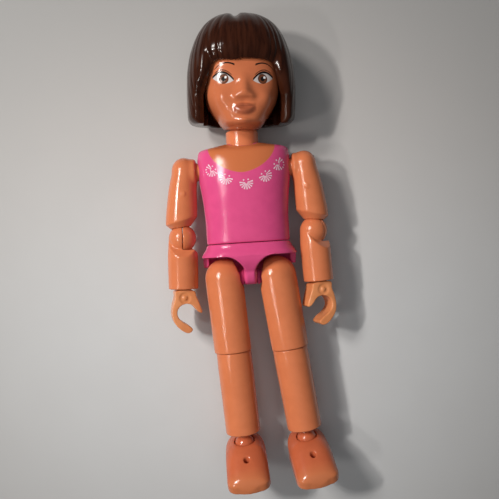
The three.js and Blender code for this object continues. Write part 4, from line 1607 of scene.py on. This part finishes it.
# %% Strands
strand_count = 36
strand_depth = 0.13
fine_strand_count = 83
fine_strand_depth = 0.02
strand_axis = 1.2
strand_crown = 0.14
hem_fade = 0.4
mean_of_ridge = 0.64


def combed(thing):
    """Presses the strands into the outside of the cap: rounded ridges with fine grooves between them."""
    mesh = thing.data
    points = np.empty(len(mesh.vertices) * 3, np.float32)
    normals = np.empty(len(mesh.vertices) * 3, np.float32)
    mesh.vertices.foreach_get("co", points)
    mesh.vertex_normals.foreach_get("vector", normals)
    points = points.reshape(-1, 3)
    normals = normals.reshape(-1, 3)
    x, y, z = points.T
    share = (y - hair_bottom) / (hair_top - hair_bottom)
    angle = np.arctan2(z - strand_axis, x)
    waver = 0.05 * np.sin(7 * angle + 1) + 0.03 * np.sin(11 * angle + 2)
    bent = angle + waver + 0.04 * np.sin(3 * angle + 4 * share)
    ridge = np.abs(np.sin(strand_count * bent / 2)) - mean_of_ridge
    depth = strand_depth * (0.75 + 0.25 * np.sin(5 * angle + 3))
    depth *= np.clip((1 - share) / strand_crown, 0, 1) * np.clip(hem_fade + share, 0, 1)
    fine = fine_strand_depth * (np.abs(np.sin(fine_strand_count * bent / 2 + 1)) - mean_of_ridge)
    reach = np.hypot(x, z - strand_axis) + 1e-6
    sideways = (normals[:, 0] * x + normals[:, 2] * (z - strand_axis)) / reach
    outward = sideways + np.clip(normals[:, 1], 0, 1)
    push = (ridge * depth + fine) * np.clip(outward * 2 - 0.3, 0, 1)
    mesh.vertices.foreach_set("co", (points + normals * push[:, None]).astype(np.float32).ravel())
    mesh.update()
    return thing


print("strands:", strand_count)

# %% Cut the hair
wave_x = np.array([-6, -2.0, -1.5, -0.5, 4, 6])
wave_y = np.array([0.3, -0.05, -0.12, 0.22, 0.15, -0.4])
back_wall = lock * 0.55


def face_window():
    """The opening for the face: it narrows from the hem to the fringe, whose edge waves a little."""
    across = np.linspace(window_half - window_corner, window_corner - window_half, 25)
    top = [(x, fringe + float(np.interp(x, wave_x, wave_y))) for x in across]
    right = bend_to((window_half, fringe - window_corner), (window_half, fringe), top[0])[:-1]
    left = bend_to(top[-1], (-window_half, fringe), (-window_half, fringe - window_corner))
    return prism_z([
        (-hollow_half, -far),
        (hollow_half, -far),
        (hollow_half, shoulder_level),
        (window_half, fringe - window_corner),
        *right,
        *top,
        *left,
        (-hollow_half, shoulder_level),
    ], 0, far)


def hair_shape():
    inside = -hair_back + back_wall
    hollow = lofted([
        oval(-far, hollow_half, inside, far, 4),
        oval(shoulder_level, hollow_half, inside, far, 4),
        oval(fringe * 0.8, window_half, -skull_depth, far, 4),
    ], 24)
    below = moved(slab(y=(-far, 0)), shift(0, -hair_hem, 0), turn("X", hair_slope))
    room = lofted(head_rows(gap), steps=90, around=body_sides)
    return cut(hair_cap(), room, face_window(), hollow, below)


bob = combed(moulded(hair_shape(), size=0.175, relax=12))
print("hair cut")

# %% Hair material
hair_light = (0.03, 0.0072, 0.003)
hair_dark = (0.02, 0.0048, 0.002)
# Painted sheen: a lighter brown for the streaks along the strands
hair_sheen = (0.042, 0.011, 0.0048)
tone_spread = 9
tone_stretch = 0.12
tone_bump = 0.07
tone_height = 0.12 * MM


def hair_material():
    """Long streaks of painted sheen on two browns: noise that is stretched from the crown to the hem."""
    finish = plastic("hair_plastic", hair_light, hair_dark, dullness=0.16, bump=0.25, specular=0.35)
    material, tree, shader, colour = finish
    x, y, z = coordinates(tree, head_place)
    reach = (x * x + z * z).math("SQRT").most(0.01)
    spread = added(tree, "ShaderNodeCombineXYZ", X=x / reach * tone_spread, Y=y * tone_stretch,
                   Z=z / reach * tone_spread)
    # Painted sheen: the strand streaks mix the brown towards the lighter sheen colour
    strand = noise(tree, spread.outputs["Vector"], scale=2.2, detail=3.0)
    feed(tree, shader.inputs["Base Color"], mixed(tree, strand.ramp(0.35, 0.65), colour, hair_sheen))
    lines = added(tree, "ShaderNodeBump", Strength=tone_bump, Distance=tone_height, Height=strand)
    fine = shader.inputs["Normal"].links[0].from_node
    feed(tree, fine.inputs["Normal"], lines.outputs["Normal"])
    return material


finished(bob, "bob", head_place, "head", "hair", hair_material(), "hair")

# %% [markdown]
# ## Scallop print
# Five little scallop fans follow the neckline in white ink. They repeat, so Geometry Nodes draw them: a
# thin cone is one stroke, strokes turned about the hinge make a fan with two dots, and a fan stands on
# each point of the neckline, turned away from the neck. A ray straight down then lays the ink on the
# chest.

# %% Fan places
fan_places = [(-6.25, 14.6), (-3.55, 12.75), (0.3, 11.55), (4.05, 12.85), (6.7, 15.05)]
neckline_middle = (scoop_middle, 19.5)
fan_points = [at("waist_turn") @ Vector((x * MM, y * MM, 0)) for x, y in fan_places]
fan_mesh = bpy.data.meshes.new("scallops")
fan_mesh.from_pydata([(point.x, point.y, 0) for point in fan_points], [], [])
heading = fan_mesh.attributes.new("heading", "FLOAT", "POINT")
for entry, (x, y) in zip(heading.data, fan_places):
    away = math.atan2(y - neckline_middle[1], x - neckline_middle[0])
    entry.value = away - math.pi / 2
scallops = bpy.data.objects.new("scallops", fan_mesh)
scene.collection.objects.link(scallops)
print("fans:", len(fan_mesh.vertices))

# %% Fan tree
ink_light = (0.85, 0.7, 0.75)
ink_dark = (0.8, 0.6, 0.67)
ink_plastic = plastic("white_ink", ink_light, ink_dark, dullness=0.35)[0]
fan_inputs = {
    "Strokes": ("NodeSocketInt", 9),
    "Spread": ("NodeSocketFloat", rad(196)),
    "Reach": ("NodeSocketFloat", 1.35 * MM),
    "Stroke": ("NodeSocketFloat", 0.14 * MM),
    "Relief": ("NodeSocketFloat", 0.3),
    "Chest": ("NodeSocketObject", torso),
    "Ink": ("NodeSocketMaterial", ink_plastic),
}
fans = bpy.data.node_groups.new("scallop_fans", "GeometryNodeTree")
fans.interface.new_socket("Geometry", in_out="INPUT", socket_type="NodeSocketGeometry")
fan_sockets = {name: fans.interface.new_socket(name, in_out="INPUT", socket_type=kind)
               for name, (kind, value) in fan_inputs.items()}
fans.interface.new_socket("Geometry", in_out="OUTPUT", socket_type="NodeSocketGeometry")
fan_in = fans.nodes.new("NodeGroupInput").outputs
fan_out = fans.nodes.new("NodeGroupOutput").inputs
print("fan inputs:", ", ".join(fan_inputs))

# %% One fan
stroke_start = 0.18
stroke_length = 0.8
stroke_taper = 0.4
dot_size = 1.15
dot_apart = 0.9 * MM
dot_drop = 0.55 * MM


def turned_by(angle):
    euler = added(fans, "ShaderNodeCombineXYZ", Z=angle).outputs["Vector"]
    return added(fans, "FunctionNodeEulerToRotation", Euler=euler).outputs["Rotation"]


reach = Reading(fans, fan_in["Reach"])
stroke_width = Reading(fans, fan_in["Stroke"])
cone = added(fans, "GeometryNodeMeshCone", Vertices=6, Radius_Top=stroke_width,
             Radius_Bottom=stroke_width * stroke_taper, Depth=reach * stroke_length)
start = added(fans, "ShaderNodeCombineXYZ", Y=reach * stroke_start).outputs["Vector"]
lying = added(fans, "GeometryNodeTransform", Geometry=cone.outputs["Mesh"], Translation=start,
              Rotation=Euler((-math.pi / 2, 0, 0)))
hinge = added(fans, "GeometryNodeMeshLine", Count=fan_in["Strokes"], Offset=(0, 0, 0))
index = Reading(fans, fans.nodes.new("GeometryNodeInputIndex").outputs["Index"])
stroke_turn = (index / (Reading(fans, fan_in["Strokes"]) - 1) - 0.5) * Reading(fans, fan_in["Spread"])
strokes = added(fans, "GeometryNodeInstanceOnPoints", Points=hinge.outputs["Mesh"],
                Instance=lying.outputs["Geometry"], Rotation=turned_by(stroke_turn))
dot = added(fans, "GeometryNodeMeshUVSphere", Segments=8, Rings=5, Radius=stroke_width * dot_size)
dot_row = added(fans, "GeometryNodeMeshLine", Count=2, Offset=(dot_apart, 0, 0),
                Start_Location=(-dot_apart / 2, -dot_drop, 0))
dots = added(fans, "GeometryNodeInstanceOnPoints", Points=dot_row.outputs["Mesh"],
             Instance=dot.outputs["Mesh"])
fan = fans.nodes.new("GeometryNodeJoinGeometry")
for part in (strokes, dots):
    feed(fans, fan.inputs["Geometry"], part.outputs["Instances"])
print("fan tree so far:", len(fans.nodes), "nodes")

# %% Lay the fans on the chest
ray_height = 0.03
named = fans.nodes.new("GeometryNodeInputNamedAttribute")
named.inputs["Name"].default_value = "heading"
placed = added(fans, "GeometryNodeInstanceOnPoints", Points=fan_in["Geometry"],
               Instance=fan.outputs["Geometry"], Rotation=turned_by(named.outputs["Attribute"]))
flat = added(fans, "GeometryNodeRealizeInstances", Geometry=placed.outputs["Instances"])
position = fans.nodes.new("GeometryNodeInputPosition").outputs["Position"]
place = added(fans, "ShaderNodeSeparateXYZ", Vector=position).outputs
above = added(fans, "ShaderNodeCombineXYZ", X=place["X"], Y=place["Y"], Z=ray_height).outputs["Vector"]
chest = added(fans, "GeometryNodeObjectInfo", Object=fan_in["Chest"])
ray = added(fans, "GeometryNodeRaycast", Target_Geometry=chest.outputs["Geometry"], Source_Position=above,
            Ray_Direction=(0, 0, -1), Ray_Length=2 * ray_height)
hit = added(fans, "ShaderNodeSeparateXYZ", Vector=ray.outputs["Hit Position"]).outputs
ink_height = Reading(fans, place["Z"]).math("MULTIPLY_ADD", fan_in["Relief"], hit["Z"])
landed = added(fans, "ShaderNodeCombineXYZ", X=place["X"], Y=place["Y"], Z=ink_height).outputs["Vector"]
laid = added(fans, "GeometryNodeSetPosition", Geometry=flat.outputs["Geometry"], Position=landed)
inked = added(fans, "GeometryNodeSetMaterial", Geometry=laid.outputs["Geometry"], Material=fan_in["Ink"])
feed(fans, fan_out["Geometry"], inked.outputs["Geometry"])
printer = scallops.modifiers.new("fans", "NODES")
printer.node_group = fans
for name, (kind, value) in fan_inputs.items():
    printer[fan_sockets[name].identifier] = value
baked(scallops)
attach(scallops, "torso")
pieces.append("scallops")
print("scallop faces:", len(scallops.data.polygons))

# %% [markdown]
# ## Pins inside
# The hinge pins and the waist peg hardly show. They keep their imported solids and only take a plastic.

# %% Pins
pin_names = [f"{name}_{joint}_pin" for joint in ("elbow", "knee") for name in sides]
for node, material in [("waist_peg", pink_plastic), *((name, pin_plastic) for name in pin_names)]:
    mesh = frame["nodes"][node].data
    mesh.materials.clear()
    mesh.materials.append(material)
print("painted:", ", ".join(pin_names))

# %% Close the lesson
print("pieces:", len(pieces))
